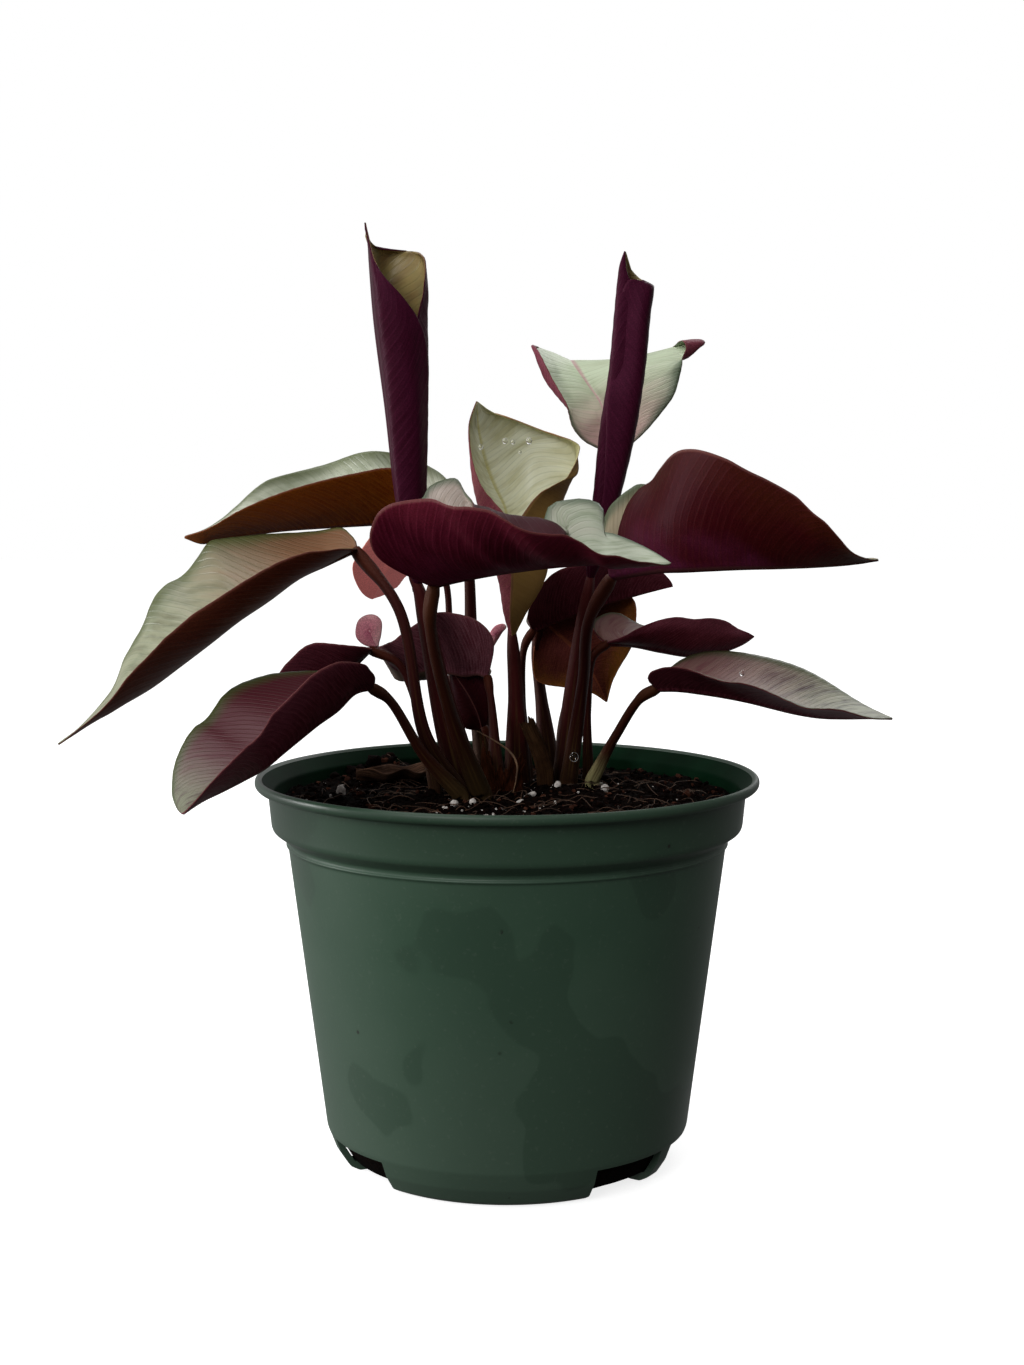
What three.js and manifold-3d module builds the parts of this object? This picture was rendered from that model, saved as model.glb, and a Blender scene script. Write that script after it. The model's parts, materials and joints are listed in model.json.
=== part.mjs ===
// Silver plate calathea growing in a six inch nursery pot.
// Lengths are millimetres and angles are degrees. +Z is up, the pot stands on Z = 0 with its
// axis on the Z axis, and -Y faces the viewer. Headings are measured from +X towards +Y.

import * as THREE from 'three';
import { mergeVertices } from 'three/addons/utils/BufferGeometryUtils.js';
import Module from 'manifold-3d';

const wasm = await Module();
wasm.setup();

// Driving sizes of the pot
const POT_SIDES = 40;
const RIM_RADIUS = 82.5;
const POT_HEIGHT = 128;
const WALL = 1.9;
const COLLAR_TOP_RADIUS = 78.3;
const COLLAR_BOTTOM_RADIUS = 77.2;
const COLLAR_TOP = 124.2;
const COLLAR_BOTTOM = 112;
const STEP_RADIUS = 72.3;
const STEP_BOTTOM = 108.2;
const RIDGE_HEIGHT = 106;
const RIDGE_RELIEF = 0.6;
const CREASE_RADIUS = 60;
const CREASE_HEIGHT = 12.5;
const BASE_RADIUS = 51.5;
const FLOOR = 3;

// Drain notches, in pairs round the foot. Angles are measured from the viewer's side.
const NOTCH_PAIRS = [59, 174, -72];
const NOTCH_OFFSET = 17;
const NOTCH_HALF_ANGLE = 13.8;
const NOTCH_INNER_RADIUS = 46;
const NOTCH_TOP = 11.5;

// Driving sizes of the soil
const SOIL_TOP = 120;
const SOIL_GAP = 0.35;
const SOIL_BUMP = 0.7;
const SOIL_RINGS = 8;
const SOIL_CLUMP = { x: -44, y: 52, radius: 11, height: 5 };
const HOLE_DEPTH = 9;
const HOLE_SIDES = 12;
const HOLE_CLEARANCE = 0.4;

// Driving sizes shared by the leaves
const BLADE_THICKNESS = 0.8;
const RIB_HEIGHT = 0.9;
const ROW_LENGTH = 8;
const FEWEST_ROWS = 6;
const BLADE_COLUMNS = 8;
const FIRST_ROW = 0.02;
const LAST_ROW = 0.985;
const BASE_ROUNDNESS = 0.55;
const TIP_ROUNDNESS = 0.75;
const JOINT_GAP = 0.3;
const WELD_DISTANCE = 1e-4;
const MIDRIB_STEPS = 24;
const LOBE_PEAK = 14.9;
const FLATTEST_CURL = 0.5;
const PETIOLE_SIDES = 7;
const PETIOLE_STEPS = 8;
const ROLL_SEAT = 1.2;
const ROLLED_THICKNESS = 0.7;
const ROLLED_ROWS = 13;
const ROLLED_COLUMNS = 16;
const ROLLED_ENDS = [0.01, 0.995];
const ROLLED_CROWDING = 1.25;

// Petiole: a swollen sheath at the foot, a slow taper, and a knee below the blade
const SHEATH_SWELL = 1.5;
const SHEATH_END = 0.5;
const PETIOLE_TAPER = 0.85;
const KNEE_START = 0.85;
const KNEE_SWELL = 1.12;

const PURPLE = '#451a33';
const MAROON = '#4a2019';
const REDDISH = '#6e3a38';
const SILVER = '#a9b09a';
const STALK = '#36221d';

// Spread leaves. base is where the blade meets its petiole. The midrib leaves it along heading
// and pitch, and changes by turn and droop up to the tip. Each half has its width, its fold
// above the level at base and tip, its curl towards the margin, and a wave of the margin
// [height, count, phase]. foot is where the petiole leaves the soil, and via what it passes.
const LEAVES = {
  big_right: {
    foot: [21, 27], via: [[25, 4, 158], [26.5, -17, 181]], base: [32, -22, 193.5],
    heading: -23, turn: 12, pitch: 7, droop: -5, length: 84, lobe: 0.17, colour: PURPLE, stalk: 2.1,
    near: { width: 37, fold: [106, 2], curl: 40, wave: [5.4, 1.5, 0.1] },
    far: { width: 36, fold: [54, 24], curl: 15, wave: [3, 2.2, 0.2] },
  },
  front_curl: {
    foot: [-8.5, -3.5], via: [[-18, -28, 152], [-23.5, -44, 182]], base: [-23, -46, 192.5],
    heading: -18, turn: 5, pitch: 14, droop: -16, length: 75, lobe: 0.2, colour: PURPLE, stalk: 2,
    near: { width: 47, fold: [14, -14], curl: 45, wave: [3.8, 1.3, 0.1] },
    far: { width: 42, fold: [76, 33], curl: -64, wave: [5.7, 2, 0.2] },
  },
  upper_left: {
    foot: [-7, 33], via: [[-12, 36, 165], [-15, 28, 203]], base: [-22, 22, 211],
    heading: 161, turn: 28, pitch: -6, droop: 3, length: 88, lobe: 0.08, colour: MAROON, stalk: 2,
    near: { width: 29, fold: [44, 17], curl: 8, wave: [0.4, 2, 0] },
    far: { width: 34, fold: [23, 11], curl: 55, wave: [3.8, 2.3, 0.6] },
  },
  big_left: {
    foot: [-15.5, 1], via: [[-26.5, -10, 142], [-34.5, -14, 183]], base: [-48, -4, 202.3],
    heading: 181, turn: 3, pitch: -27, droop: -12, length: 117, lobe: 0.04, colour: MAROON, stalk: 2,
    near: { width: 32, fold: [0, 0], curl: 45, wave: [1.2, 2.9, 0.9] },
    far: { width: 38, fold: [40, 10], curl: 18, wave: [1.5, 3, 0.4] },
  },
  low_left: {
    foot: [-15, -7.5], via: [[-17.5, -9.5, 125], [-27, -17, 137], [-37, -25, 155]], base: [-42, -30, 160],
    heading: 221, turn: 6, pitch: -18, droop: -13, length: 80, lobe: 0.03, colour: PURPLE, stalk: 1.7,
    near: { width: 28, fold: [42, 38], curl: 25, wave: [1, 1.6, 0.7] },
    far: { width: 35, fold: [25, -1], curl: 5, wave: [0.9, 2.4, 0.1] },
  },
  behind_low_left: {
    foot: [-24, 7], via: [[-29, 6, 147], [-36, 4, 164]], base: [-45, 4, 169],
    heading: 160, turn: 0, pitch: -52, droop: 10, length: 56, lobe: 0.06, colour: PURPLE, stalk: 1.5,
    near: { width: 22, fold: [20, 20], curl: 10, wave: [0.5, 2, 0] },
    far: { width: 27, fold: [20, 70], curl: 12, wave: [1.5, 2.2, 0.5] },
  },
  mid_right: {
    foot: [28, 36], via: [[27.5, 31, 145], [29.5, 25, 165]], base: [33, 20, 169.3],
    heading: 27, turn: 10, pitch: -15, droop: 29, length: 64, lobe: 0.12, colour: PURPLE, stalk: 1.4,
    near: { width: 21, fold: [27, 28], curl: 10, wave: [1.5, 3, 0.7] },
    far: { width: 15, fold: [40, 30], curl: 10, wave: [1, 2, 0] },
  },
  low_right: {
    foot: [29, 26], via: [[36, 9, 139], [44, -2, 153.5]], base: [48, -4, 156.5],
    heading: -13, turn: 4, pitch: -6, droop: 0, length: 77, lobe: 0.05, colour: PURPLE, stalk: 1.7,
    near: { width: 26, fold: [38, 8], curl: -19, wave: [1.1, 2.9, 0] },
    far: { width: 34, fold: [13, -1], curl: 27, wave: [0.4, 2, 0] },
  },
  dark_right: {
    foot: [6, 43], via: [[4.8, 43, 150], [6, 45, 166]], base: [8.5, 46, 171.5],
    heading: 5, turn: 1, pitch: 22, droop: -10, length: 52, lobe: 0.1, colour: PURPLE, stalk: 1.4,
    near: { width: 24, fold: [35, 59], curl: 6, wave: [1.8, 1.9, 0.8] },
    far: { width: 12, fold: [30, 30], curl: 10, wave: [1, 2, 0] },
  },
  hanging_back: {
    foot: [15, 51], via: [[11.5, 54, 150], [10, 54, 163]], base: [13, 54, 169],
    heading: 15, turn: 5, pitch: -35, droop: -32, length: 36, lobe: 0.1, colour: REDDISH, stalk: 1.8,
    near: { width: 24, fold: [-20, -20], curl: -10, wave: [1.2, 2, 0.9] },
    far: { width: 31, fold: [50, 30], curl: 40, wave: [0.6, 2, 0] },
  },
  centre_left: {
    foot: [-3.5, 12], via: [[-5, 15, 147]], base: [-6.2, 18, 158.4],
    heading: 168, turn: -8, pitch: 16, droop: -47, length: 42, lobe: 0.1, colour: PURPLE, stalk: 1.4,
    near: { width: 24, fold: [60, 34], curl: 8, wave: [0.9, 2, 0] },
    far: { width: 12, fold: [30, 20], curl: 10, wave: [1, 2, 0] },
  },
  red_back: {
    foot: [-16, 43], via: [[-20, 48, 160], [-22, 47, 190]], base: [-29, 44, 200],
    heading: 150, turn: 0, pitch: -25, droop: -45, length: 34, lobe: 0.1, colour: REDDISH, stalk: 1.3,
    near: { width: 14, fold: [15, 5], curl: 9, wave: [0.9, 1.6, 0.9] },
    far: { width: 17, fold: [7, 0], curl: 0, wave: [1.2, 2, 0] },
  },
  low_back: {
    foot: [-4, 23], via: [[-5, 24, 134]], base: [-8, 24, 141],
    heading: 175, turn: 0, pitch: 35, droop: -20, length: 20, lobe: 0.1, colour: PURPLE, stalk: 1.2,
    near: { width: 11, fold: [50, 30], curl: 10, wave: [0.6, 2, 0] },
    far: { width: 7, fold: [40, 20], curl: 10, wave: [0.6, 2, 0] },
  },
  back_upright: {
    foot: [20, 62], via: [[20.5, 67, 135], [30, 76, 172], [35, 64, 218]], base: [37, 56, 232],
    heading: 100, turn: 0, pitch: 66, droop: -80, length: 80, lobe: 0.03, colour: SILVER, stalk: 1.9,
    near: { width: 29, fold: [52, 5], curl: -4, wave: [1.5, 2, 0.2] },
    far: { width: 33, fold: [48, -4], curl: 4, wave: [1.5, 2, 0.2] },
  },
};

// Leaves still rolled up, each a sheet wound round an axis from knee through middle to top.
// radius is that of the roll at base, middle and top, start the heading of the midrib round
// the axis, and pitch the space between two turns. outer and inner are the margins of the two
// halves: rows of [share of the height, degrees wound from the midrib]. crown is how high the
// blade stands at the outer margin, the midrib and the inner margin, as shares of the axis.
const ROLLED = {
  tall_left: {
    foot: [-14, 10], via: [[-22, 2, 155]],
    knee: [-28.5, -6, 188], middle: [-32.7, -8, 250], top: [-36, -8, 306],
    radius: [3.8, 5.6, 8.8], start: 180, pitch: 2, colour: PURPLE, stalk: 3,
    outer: [[0, 60], [0.1, 200], [0.4, 330], [0.65, 185], [0.75, 130], [0.83, 75], [0.9, 20], [1, 3]],
    inner: [[0, 60], [0.1, 200], [0.4, 300], [0.8, 240], [0.9, 175], [0.94, 80], [1, 6]],
    crown: [1, 1, 1],
  },
  tall_right: {
    foot: [20, 37], via: [[23.3, 28.5, 160]],
    knee: [27.5, 22, 188], middle: [37.2, 22, 250], top: [43.5, 22, 300],
    radius: [4, 3.7, 4.2], start: 215, pitch: 1.4, colour: PURPLE, stalk: 2.6,
    outer: [[0, 90], [0.1, 330], [0.45, 400], [0.58, 360], [0.7, 290],
      [0.8, 220], [0.88, 140], [0.94, 50], [1, 6]],
    inner: [[0, 90], [0.1, 300], [0.5, 380], [0.86, 300], [0.9, 200], [0.915, 120], [0.95, 50], [1, 8]],
    crown: [1, 1, 1],
  },
  funnel: {
    foot: [3.5, 33], via: [[2.9, 25, 152]],
    knee: [1.5, 23, 171], middle: [4.5, 17, 207], top: [7, 12, 249],
    radius: [3.8, 9.5, 19], start: 90, pitch: 1.2, colour: SILVER, stalk: 2.4,
    outer: [[0, 120], [0.15, 195], [0.5, 185], [0.62, 150], [0.78, 95], [1, 90]],
    inner: [[0, 120], [0.15, 195], [0.5, 175], [0.62, 140], [0.78, 95], [1, 80]],
    crown: [1, 0.9, 0.8],
  },
};

// Small things on the soil
const STUB_STEPS = 5;
const STUB_SWELL = 1.15;
const PERLITE_SOCKET = 1.3;
const STUB = { foot: [13, 25.5], top: [6.5, 24, 142], radius: 2.6 };
const SHEATH = { x: -1.5, y: 12.5, radius: 7, height: 24, halfAngle: 62, thickness: 0.8 };
const DRIED_LEAF = { x: -38, y: 33, heading: 8, length: 27, width: 8.5, lift: 3, thickness: 0.8 };
const PERLITE = [
  { x: 33, y: 18, radius: 1.9 },
  { x: 8, y: 3, radius: 1.5 },
  { x: 17, y: 17, radius: 1.4 },
  { x: -17, y: -16, radius: 1.5 },
  { x: -11, y: -18, radius: 1.3 },
  { x: -55, y: 3, radius: 1.8 },
  { x: 4, y: -10, radius: 1.2 },
];

const radians = (degrees) => (degrees * Math.PI) / 180;
const mix = (a, b, t) => a + (b - a) * t;
const clamp01 = (t) => Math.min(1, Math.max(0, t));

// A small seeded random source, so that every build is the same
function randomSource(seed) {
  let state = seed;
  return () => {
    state = (state * 1664525 + 1013904223) % 4294967296;
    return state / 4294967296;
  };
}

function geometryFrom(points, faces) {
  const geometry = new THREE.BufferGeometry();
  const flat = points.flatMap((point) => [point.x, point.y, point.z]);
  geometry.setAttribute('position', new THREE.Float32BufferAttribute(flat, 3));
  geometry.setIndex(faces.flat());
  return geometry;
}

// The same shape with only its corners, each of them held once
function weld(geometry) {
  const bare = geometry.clone();
  bare.deleteAttribute('normal');
  bare.deleteAttribute('uv');
  return mergeVertices(bare, WELD_DISTANCE);
}

function toSolid(geometry) {
  const merged = weld(geometry);
  return new wasm.Manifold(new wasm.Mesh({
    numProp: 3,
    vertProperties: new Float32Array(merged.attributes.position.array),
    triVerts: new Uint32Array(merged.index.array),
  }));
}

function fromSolid(solid) {
  const mesh = solid.getMesh();
  const geometry = new THREE.BufferGeometry();
  geometry.setAttribute('position', new THREE.BufferAttribute(new Float32Array(mesh.vertProperties), 3));
  geometry.setIndex(new THREE.BufferAttribute(new Uint32Array(mesh.triVerts), 1));
  return geometry;
}

function upright(geometry) {
  return geometry.rotateX(Math.PI / 2);
}

// A closed thin solid on both sides of a sheet. pointAt(row, column) gives the middle of the
// sheet, and both faces are split into triangles alike.
function sheetSolid(pointAt, rows, columns, thicknessAt) {
  const middle = [];
  for (let i = 0; i <= rows; i += 1) {
    middle.push([]);
    for (let j = 0; j <= columns; j += 1) middle[i].push(pointAt(i / rows, j / columns));
  }
  const points = [];
  for (let i = 0; i <= rows; i += 1) {
    for (let j = 0; j <= columns; j += 1) {
      const along = middle[Math.min(i + 1, rows)][j].clone().sub(middle[Math.max(i - 1, 0)][j]);
      const across = middle[i][Math.min(j + 1, columns)].clone().sub(middle[i][Math.max(j - 1, 0)]);
      const normal = along.cross(across).normalize();
      const thickness = thicknessAt(i / rows, j / columns);
      points.push(middle[i][j].clone().addScaledVector(normal, thickness.above));
      points.push(middle[i][j].clone().addScaledVector(normal, -thickness.below));
    }
  }
  const at = (i, j, side) => (i * (columns + 1) + j) * 2 + side;
  const faces = [];
  const quad = (a, b, c, d) => faces.push([a, b, c], [a, c, d]);
  for (let i = 0; i < rows; i += 1) {
    for (let j = 0; j < columns; j += 1) {
      quad(at(i, j, 0), at(i + 1, j, 0), at(i + 1, j + 1, 0), at(i, j + 1, 0));
      const below = [at(i, j, 1), at(i + 1, j, 1), at(i + 1, j + 1, 1), at(i, j + 1, 1)];
      faces.push([below[0], below[2], below[1]], [below[0], below[3], below[2]]);
    }
  }
  for (let i = 0; i < rows; i += 1) {
    quad(at(i, 0, 1), at(i + 1, 0, 1), at(i + 1, 0, 0), at(i, 0, 0));
    quad(at(i, columns, 0), at(i + 1, columns, 0), at(i + 1, columns, 1), at(i, columns, 1));
  }
  for (let j = 0; j < columns; j += 1) {
    quad(at(0, j, 0), at(0, j + 1, 0), at(0, j + 1, 1), at(0, j, 1));
    quad(at(rows, j, 1), at(rows, j + 1, 1), at(rows, j + 1, 0), at(rows, j, 0));
  }
  return geometryFrom(points, faces);
}

// A closed tube of changing radius through a row of centres. Its section is turned so that
// its first corner faces +Y as well as it can.
function taperedTube(centres, radiusAt, sides) {
  const steps = centres.length - 1;
  const points = [];
  for (let i = 0; i <= steps; i += 1) {
    const tangent = centres[Math.min(i + 1, steps)].clone().sub(centres[Math.max(i - 1, 0)]).normalize();
    const first = new THREE.Vector3(0, 1, 0).addScaledVector(tangent, -tangent.y).normalize();
    const second = tangent.clone().cross(first);
    const radius = radiusAt(i / steps);
    for (let k = 0; k < sides; k += 1) {
      const angle = (2 * Math.PI * k) / sides;
      points.push(centres[i].clone()
        .addScaledVector(first, radius * Math.cos(angle))
        .addScaledVector(second, radius * Math.sin(angle)));
    }
  }
  const faces = [];
  for (let i = 0; i < steps; i += 1) {
    for (let k = 0; k < sides; k += 1) {
      const next = (k + 1) % sides;
      const a = i * sides + k;
      const b = i * sides + next;
      const c = (i + 1) * sides + next;
      const d = (i + 1) * sides + k;
      faces.push([a, b, c], [a, c, d]);
    }
  }
  for (let k = 1; k < sides - 1; k += 1) {
    faces.push([0, k + 1, k]);
    const last = steps * sides;
    faces.push([last, last + k, last + k + 1]);
  }
  return geometryFrom(points, faces);
}

// Outline of a half blade: half width at u along the leaf, as a share of the full half width
function outline(u) {
  const peak = BASE_ROUNDNESS / (BASE_ROUNDNESS + TIP_ROUNDNESS);
  const most = peak ** BASE_ROUNDNESS * (1 - peak) ** TIP_ROUNDNESS;
  return (u ** BASE_ROUNDNESS * (1 - u) ** TIP_ROUNDNESS) / most;
}

// How far back the rounded lobe at the base reaches, as a share of the length
function lobeShift(u, lobe) {
  return -lobe * LOBE_PEAK * u * (1 - u) ** 5;
}

function direction(heading, pitch) {
  const h = radians(heading);
  const p = radians(pitch);
  return new THREE.Vector3(Math.cos(p) * Math.cos(h), Math.cos(p) * Math.sin(h), Math.sin(p));
}

const leafHeading = (leaf, s) => leaf.heading + leaf.turn * clamp01(s);
const leafPitch = (leaf, s) => leaf.pitch + leaf.droop * clamp01(s);

// Point of the midrib at s along the leaf, found by adding up short straight steps
function midribPoint(leaf, s) {
  const point = new THREE.Vector3(...leaf.base);
  if (s < 0) return point.addScaledVector(direction(leaf.heading, leaf.pitch), s * leaf.length);
  let done = 0;
  for (let i = 0; i < MIDRIB_STEPS && done < s; i += 1) {
    const step = Math.min(1 / MIDRIB_STEPS, s - done);
    const centre = (i + 0.5) / MIDRIB_STEPS;
    const heading = direction(leafHeading(leaf, centre), leafPitch(leaf, centre));
    point.addScaledVector(heading, step * leaf.length);
    done += step;
  }
  return point;
}

// Middle of the blade at u along the leaf and v from midrib (0) to margin (1)
function bladePoint(leaf, half, side, u, v) {
  const s = u + lobeShift(u, leaf.lobe) * v;
  const width = outline(u) * half.width;
  const reach = width * v;
  const start = radians(mix(half.fold[0], half.fold[1], clamp01(s)));
  const curl = radians(Math.abs(half.curl) < FLATTEST_CURL ? FLATTEST_CURL : half.curl);
  const end = start + (curl * reach) / half.width;
  const scale = half.width / curl;
  const [height, count, phase] = half.wave;
  const calm = Math.min(1, (1.5 * width) / half.width);
  const swell = height * v * v * Math.sin(2 * Math.PI * (count * s + phase)) * calm;
  const sideways = scale * (Math.sin(end) - Math.sin(start)) - swell * Math.sin(end);
  const upwards = scale * (Math.cos(start) - Math.cos(end)) + swell * Math.cos(end);
  const h = radians(leafHeading(leaf, s));
  const p = radians(leafPitch(leaf, s));
  const lateral = new THREE.Vector3(-Math.sin(h), Math.cos(h), 0);
  const up = new THREE.Vector3(-Math.sin(p) * Math.cos(h), -Math.sin(p) * Math.sin(h), Math.cos(p));
  return midribPoint(leaf, s).addScaledVector(lateral, side * sideways).addScaledVector(up, upwards);
}

// Spread blade, with a rib below its midrib that fades out towards the tip
function spreadBlade(leaf) {
  const facesRight = Math.cos(radians(leaf.heading + leaf.turn / 2)) > 0;
  const nearSide = facesRight ? -1 : 1;
  const pointAt = (row, column) => {
    const u = mix(FIRST_ROW, LAST_ROW, row);
    const across = 2 * column - 1;
    const onNear = across * nearSide > 0;
    return bladePoint(leaf, onNear ? leaf.near : leaf.far, Math.sign(across), u, Math.abs(across));
  };
  const thicknessAt = (row, column) => {
    const onRib = Math.abs(2 * column - 1) < 0.01;
    const rib = onRib ? RIB_HEIGHT * (1 - row) : 0;
    return { above: BLADE_THICKNESS / 2, below: BLADE_THICKNESS / 2 + rib };
  };
  const rows = Math.max(FEWEST_ROWS, Math.round(leaf.length / ROW_LENGTH));
  return sheetSolid(pointAt, rows, BLADE_COLUMNS, thicknessAt);
}

// Petiole from its hole in the soil, by way of hand placed points, up to the base of the blade
function petiole(leaf, end) {
  const [x, y] = leaf.foot;
  const collar = new THREE.Vector3(x, y, SOIL_TOP + 2);
  const passed = leaf.via.map((point) => new THREE.Vector3(...point));
  const path = new THREE.CatmullRomCurve3([collar, ...passed, end]);
  const bottom = new THREE.Vector3(x, y, SOIL_TOP - HOLE_DEPTH + JOINT_GAP);
  const centres = [bottom, ...path.getSpacedPoints(PETIOLE_STEPS)];
  const radiusAt = (t) => {
    const sheath = mix(SHEATH_SWELL, 1, clamp01((t - 0.1) / (SHEATH_END - 0.1)));
    const knee = t > KNEE_START ? KNEE_SWELL : mix(1, PETIOLE_TAPER, t);
    return leaf.stalk * sheath * knee * (t > 0.99 ? PETIOLE_TAPER : 1);
  };
  return taperedTube(centres, radiusAt, PETIOLE_SIDES);
}

// The end of a petiole, just clear of the underside of its blade
function petioleEnd(leaf) {
  const target = midribPoint(leaf, FIRST_ROW);
  const last = new THREE.Vector3(...leaf.via[leaf.via.length - 1]);
  const arrive = target.clone().sub(last).normalize();
  const slant = Math.sin(arrive.angleTo(direction(leaf.heading, leaf.pitch)));
  const clear = JOINT_GAP + slant * (BLADE_THICKNESS / 2 + RIB_HEIGHT);
  return target.addScaledVector(arrive, -clear);
}

// Value at t in rows of [place, value], joined by straight lines
function valueAt(rows, t) {
  for (let i = 0; i + 1 < rows.length; i += 1) {
    const [from, to] = [rows[i], rows[i + 1]];
    if (t <= to[0]) return mix(from[1], to[1], clamp01((t - from[0]) / (to[0] - from[0])));
  }
  return rows[rows.length - 1][1];
}

// Rolled blade: a sheet wound round its axis, cut to the outline of the leaf
function rolledBlade(leaf) {
  const stations = [leaf.knee, leaf.middle, leaf.top];
  const axis = new THREE.CatmullRomCurve3(stations.map((point) => new THREE.Vector3(...point)));
  const radii = [[0, leaf.radius[0]], [0.5, leaf.radius[1]], [1, leaf.radius[2]]];
  const pointAt = (row, column) => {
    const across = 2 * column - 1;
    const share = Math.abs(across);
    const crown = mix(leaf.crown[1], across > 0 ? leaf.crown[0] : leaf.crown[2], share);
    const s = mix(ROLLED_ENDS[0], ROLLED_ENDS[1], 1 - (1 - row) ** ROLLED_CROWDING) * crown;
    const turned = radians(valueAt(across > 0 ? leaf.outer : leaf.inner, s)) * across;
    const wound = valueAt(radii, s) + (leaf.pitch * turned) / (2 * Math.PI);
    const angle = radians(leaf.start) + turned;
    return axis.getPoint(s).add(new THREE.Vector3(wound * Math.cos(angle), wound * Math.sin(angle), 0));
  };
  const thickness = { above: ROLLED_THICKNESS / 2, below: ROLLED_THICKNESS / 2 };
  return sheetSolid(pointAt, ROLLED_ROWS, ROLLED_COLUMNS, () => thickness);
}

function ring(radius, height) {
  return new THREE.Vector2(radius, height);
}

// A turned solid about the Z axis
function lathe(profile, sides) {
  return upright(new THREE.LatheGeometry(profile, sides));
}

// One notch: a block over a stretch of the foot's circle
function notchBlock(centreAngle) {
  const from = radians(-90 + centreAngle - NOTCH_HALF_ANGLE);
  const to = radians(-90 + centreAngle + NOTCH_HALF_ANGLE);
  const shape = new THREE.Shape();
  shape.absarc(0, 0, NOTCH_INNER_RADIUS, from, to, false);
  shape.absarc(0, 0, CREASE_RADIUS + 8, to, from, true);
  shape.closePath();
  const settings = { depth: NOTCH_TOP + 2, bevelEnabled: false, curveSegments: 4 };
  return toSolid(new THREE.ExtrudeGeometry(shape, settings).translate(0, 0, -2));
}

function buildPot() {
  const profile = [
    ring(0, 0),
    ring(BASE_RADIUS, 0),
    ring(BASE_RADIUS + 3, 1.6),
    ring(CREASE_RADIUS - 2.3, 6.5),
    ring(CREASE_RADIUS, CREASE_HEIGHT),
    ring(STEP_RADIUS - 0.5, RIDGE_HEIGHT - 0.7),
    ring(STEP_RADIUS - 0.4 + RIDGE_RELIEF, RIDGE_HEIGHT),
    ring(STEP_RADIUS - 0.3, RIDGE_HEIGHT + 0.7),
    ring(STEP_RADIUS, STEP_BOTTOM),
    ring(COLLAR_BOTTOM_RADIUS - 0.5, COLLAR_BOTTOM - 0.8),
    ring(COLLAR_BOTTOM_RADIUS, COLLAR_BOTTOM + 0.5),
    ring(COLLAR_TOP_RADIUS, COLLAR_TOP),
    ring(RIM_RADIUS - 0.8, COLLAR_TOP + 0.5),
    ring(RIM_RADIUS, COLLAR_TOP + 1.5),
    ring(RIM_RADIUS, POT_HEIGHT - 0.8),
    ring(RIM_RADIUS - 0.7, POT_HEIGHT),
    ring(RIM_RADIUS - 1.6, POT_HEIGHT),
    ring(RIM_RADIUS - 2.1, POT_HEIGHT - 0.6),
    ring(COLLAR_TOP_RADIUS - WALL, COLLAR_TOP - 1),
    ring(COLLAR_BOTTOM_RADIUS - WALL, COLLAR_BOTTOM + 1),
    ring(STEP_RADIUS - WALL, STEP_BOTTOM - 0.7),
    ring(CREASE_RADIUS - WALL, CREASE_HEIGHT + 1),
    ring(CREASE_RADIUS - 3.6, 8.5),
    ring(BASE_RADIUS + 1.6, FLOOR),
    ring(0, FLOOR),
  ];
  let pot = toSolid(lathe(profile, POT_SIDES));
  for (const pair of NOTCH_PAIRS) {
    for (const offset of [-NOTCH_OFFSET, NOTCH_OFFSET]) pot = pot.subtract(notchBlock(pair + offset));
  }
  return fromSolid(pot);
}

// Height of the soil's surface: low swells and one clump
function soilHeight(x, y) {
  const swell = Math.sin(x * 0.21 + 1) * Math.cos(y * 0.17) + 0.6 * Math.sin(x * 0.43 + y * 0.37);
  const away = ((x - SOIL_CLUMP.x) ** 2 + (y - SOIL_CLUMP.y) ** 2) / SOIL_CLUMP.radius ** 2;
  const clump = SOIL_CLUMP.height * Math.exp(-2 * away);
  return SOIL_TOP + SOIL_BUMP * swell + clump;
}

function buildSoilBody() {
  const wall = [
    [BASE_RADIUS + 1.2, FLOOR + SOIL_GAP],
    [CREASE_RADIUS - 4.1, 8.6],
    [CREASE_RADIUS - WALL - SOIL_GAP - 0.2, CREASE_HEIGHT + 1],
    [STEP_RADIUS - WALL - SOIL_GAP - 0.2, STEP_BOTTOM - 0.6],
    [COLLAR_BOTTOM_RADIUS - WALL - SOIL_GAP - 0.2, COLLAR_BOTTOM + 1.2],
  ];
  const edgeRadius = COLLAR_TOP_RADIUS - WALL - SOIL_GAP - 0.7;
  const points = [new THREE.Vector3(0, 0, wall[0][1])];
  const rows = [];
  const addRow = (pointAt) => {
    const first = points.length;
    for (let k = 0; k < POT_SIDES; k += 1) points.push(pointAt((2 * Math.PI * k) / POT_SIDES));
    rows.push(first);
  };
  for (const [radius, height] of wall) {
    addRow((angle) => new THREE.Vector3(radius * Math.cos(angle), radius * Math.sin(angle), height));
  }
  for (let i = SOIL_RINGS; i >= 1; i -= 1) {
    const radius = (edgeRadius * i) / SOIL_RINGS;
    addRow((angle) => {
      const x = radius * Math.cos(angle);
      const y = radius * Math.sin(angle);
      return new THREE.Vector3(x, y, soilHeight(x, y));
    });
  }
  const summit = points.length;
  points.push(new THREE.Vector3(0, 0, soilHeight(0, 0)));
  const faces = [];
  for (let k = 0; k < POT_SIDES; k += 1) {
    const next = (k + 1) % POT_SIDES;
    faces.push([0, rows[0] + next, rows[0] + k]);
    for (let i = 0; i + 1 < rows.length; i += 1) {
      faces.push([rows[i] + k, rows[i] + next, rows[i + 1] + next]);
      faces.push([rows[i] + k, rows[i + 1] + next, rows[i + 1] + k]);
    }
    faces.push([rows[rows.length - 1] + k, rows[rows.length - 1] + next, summit]);
  }
  return geometryFrom(points, faces);
}

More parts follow.
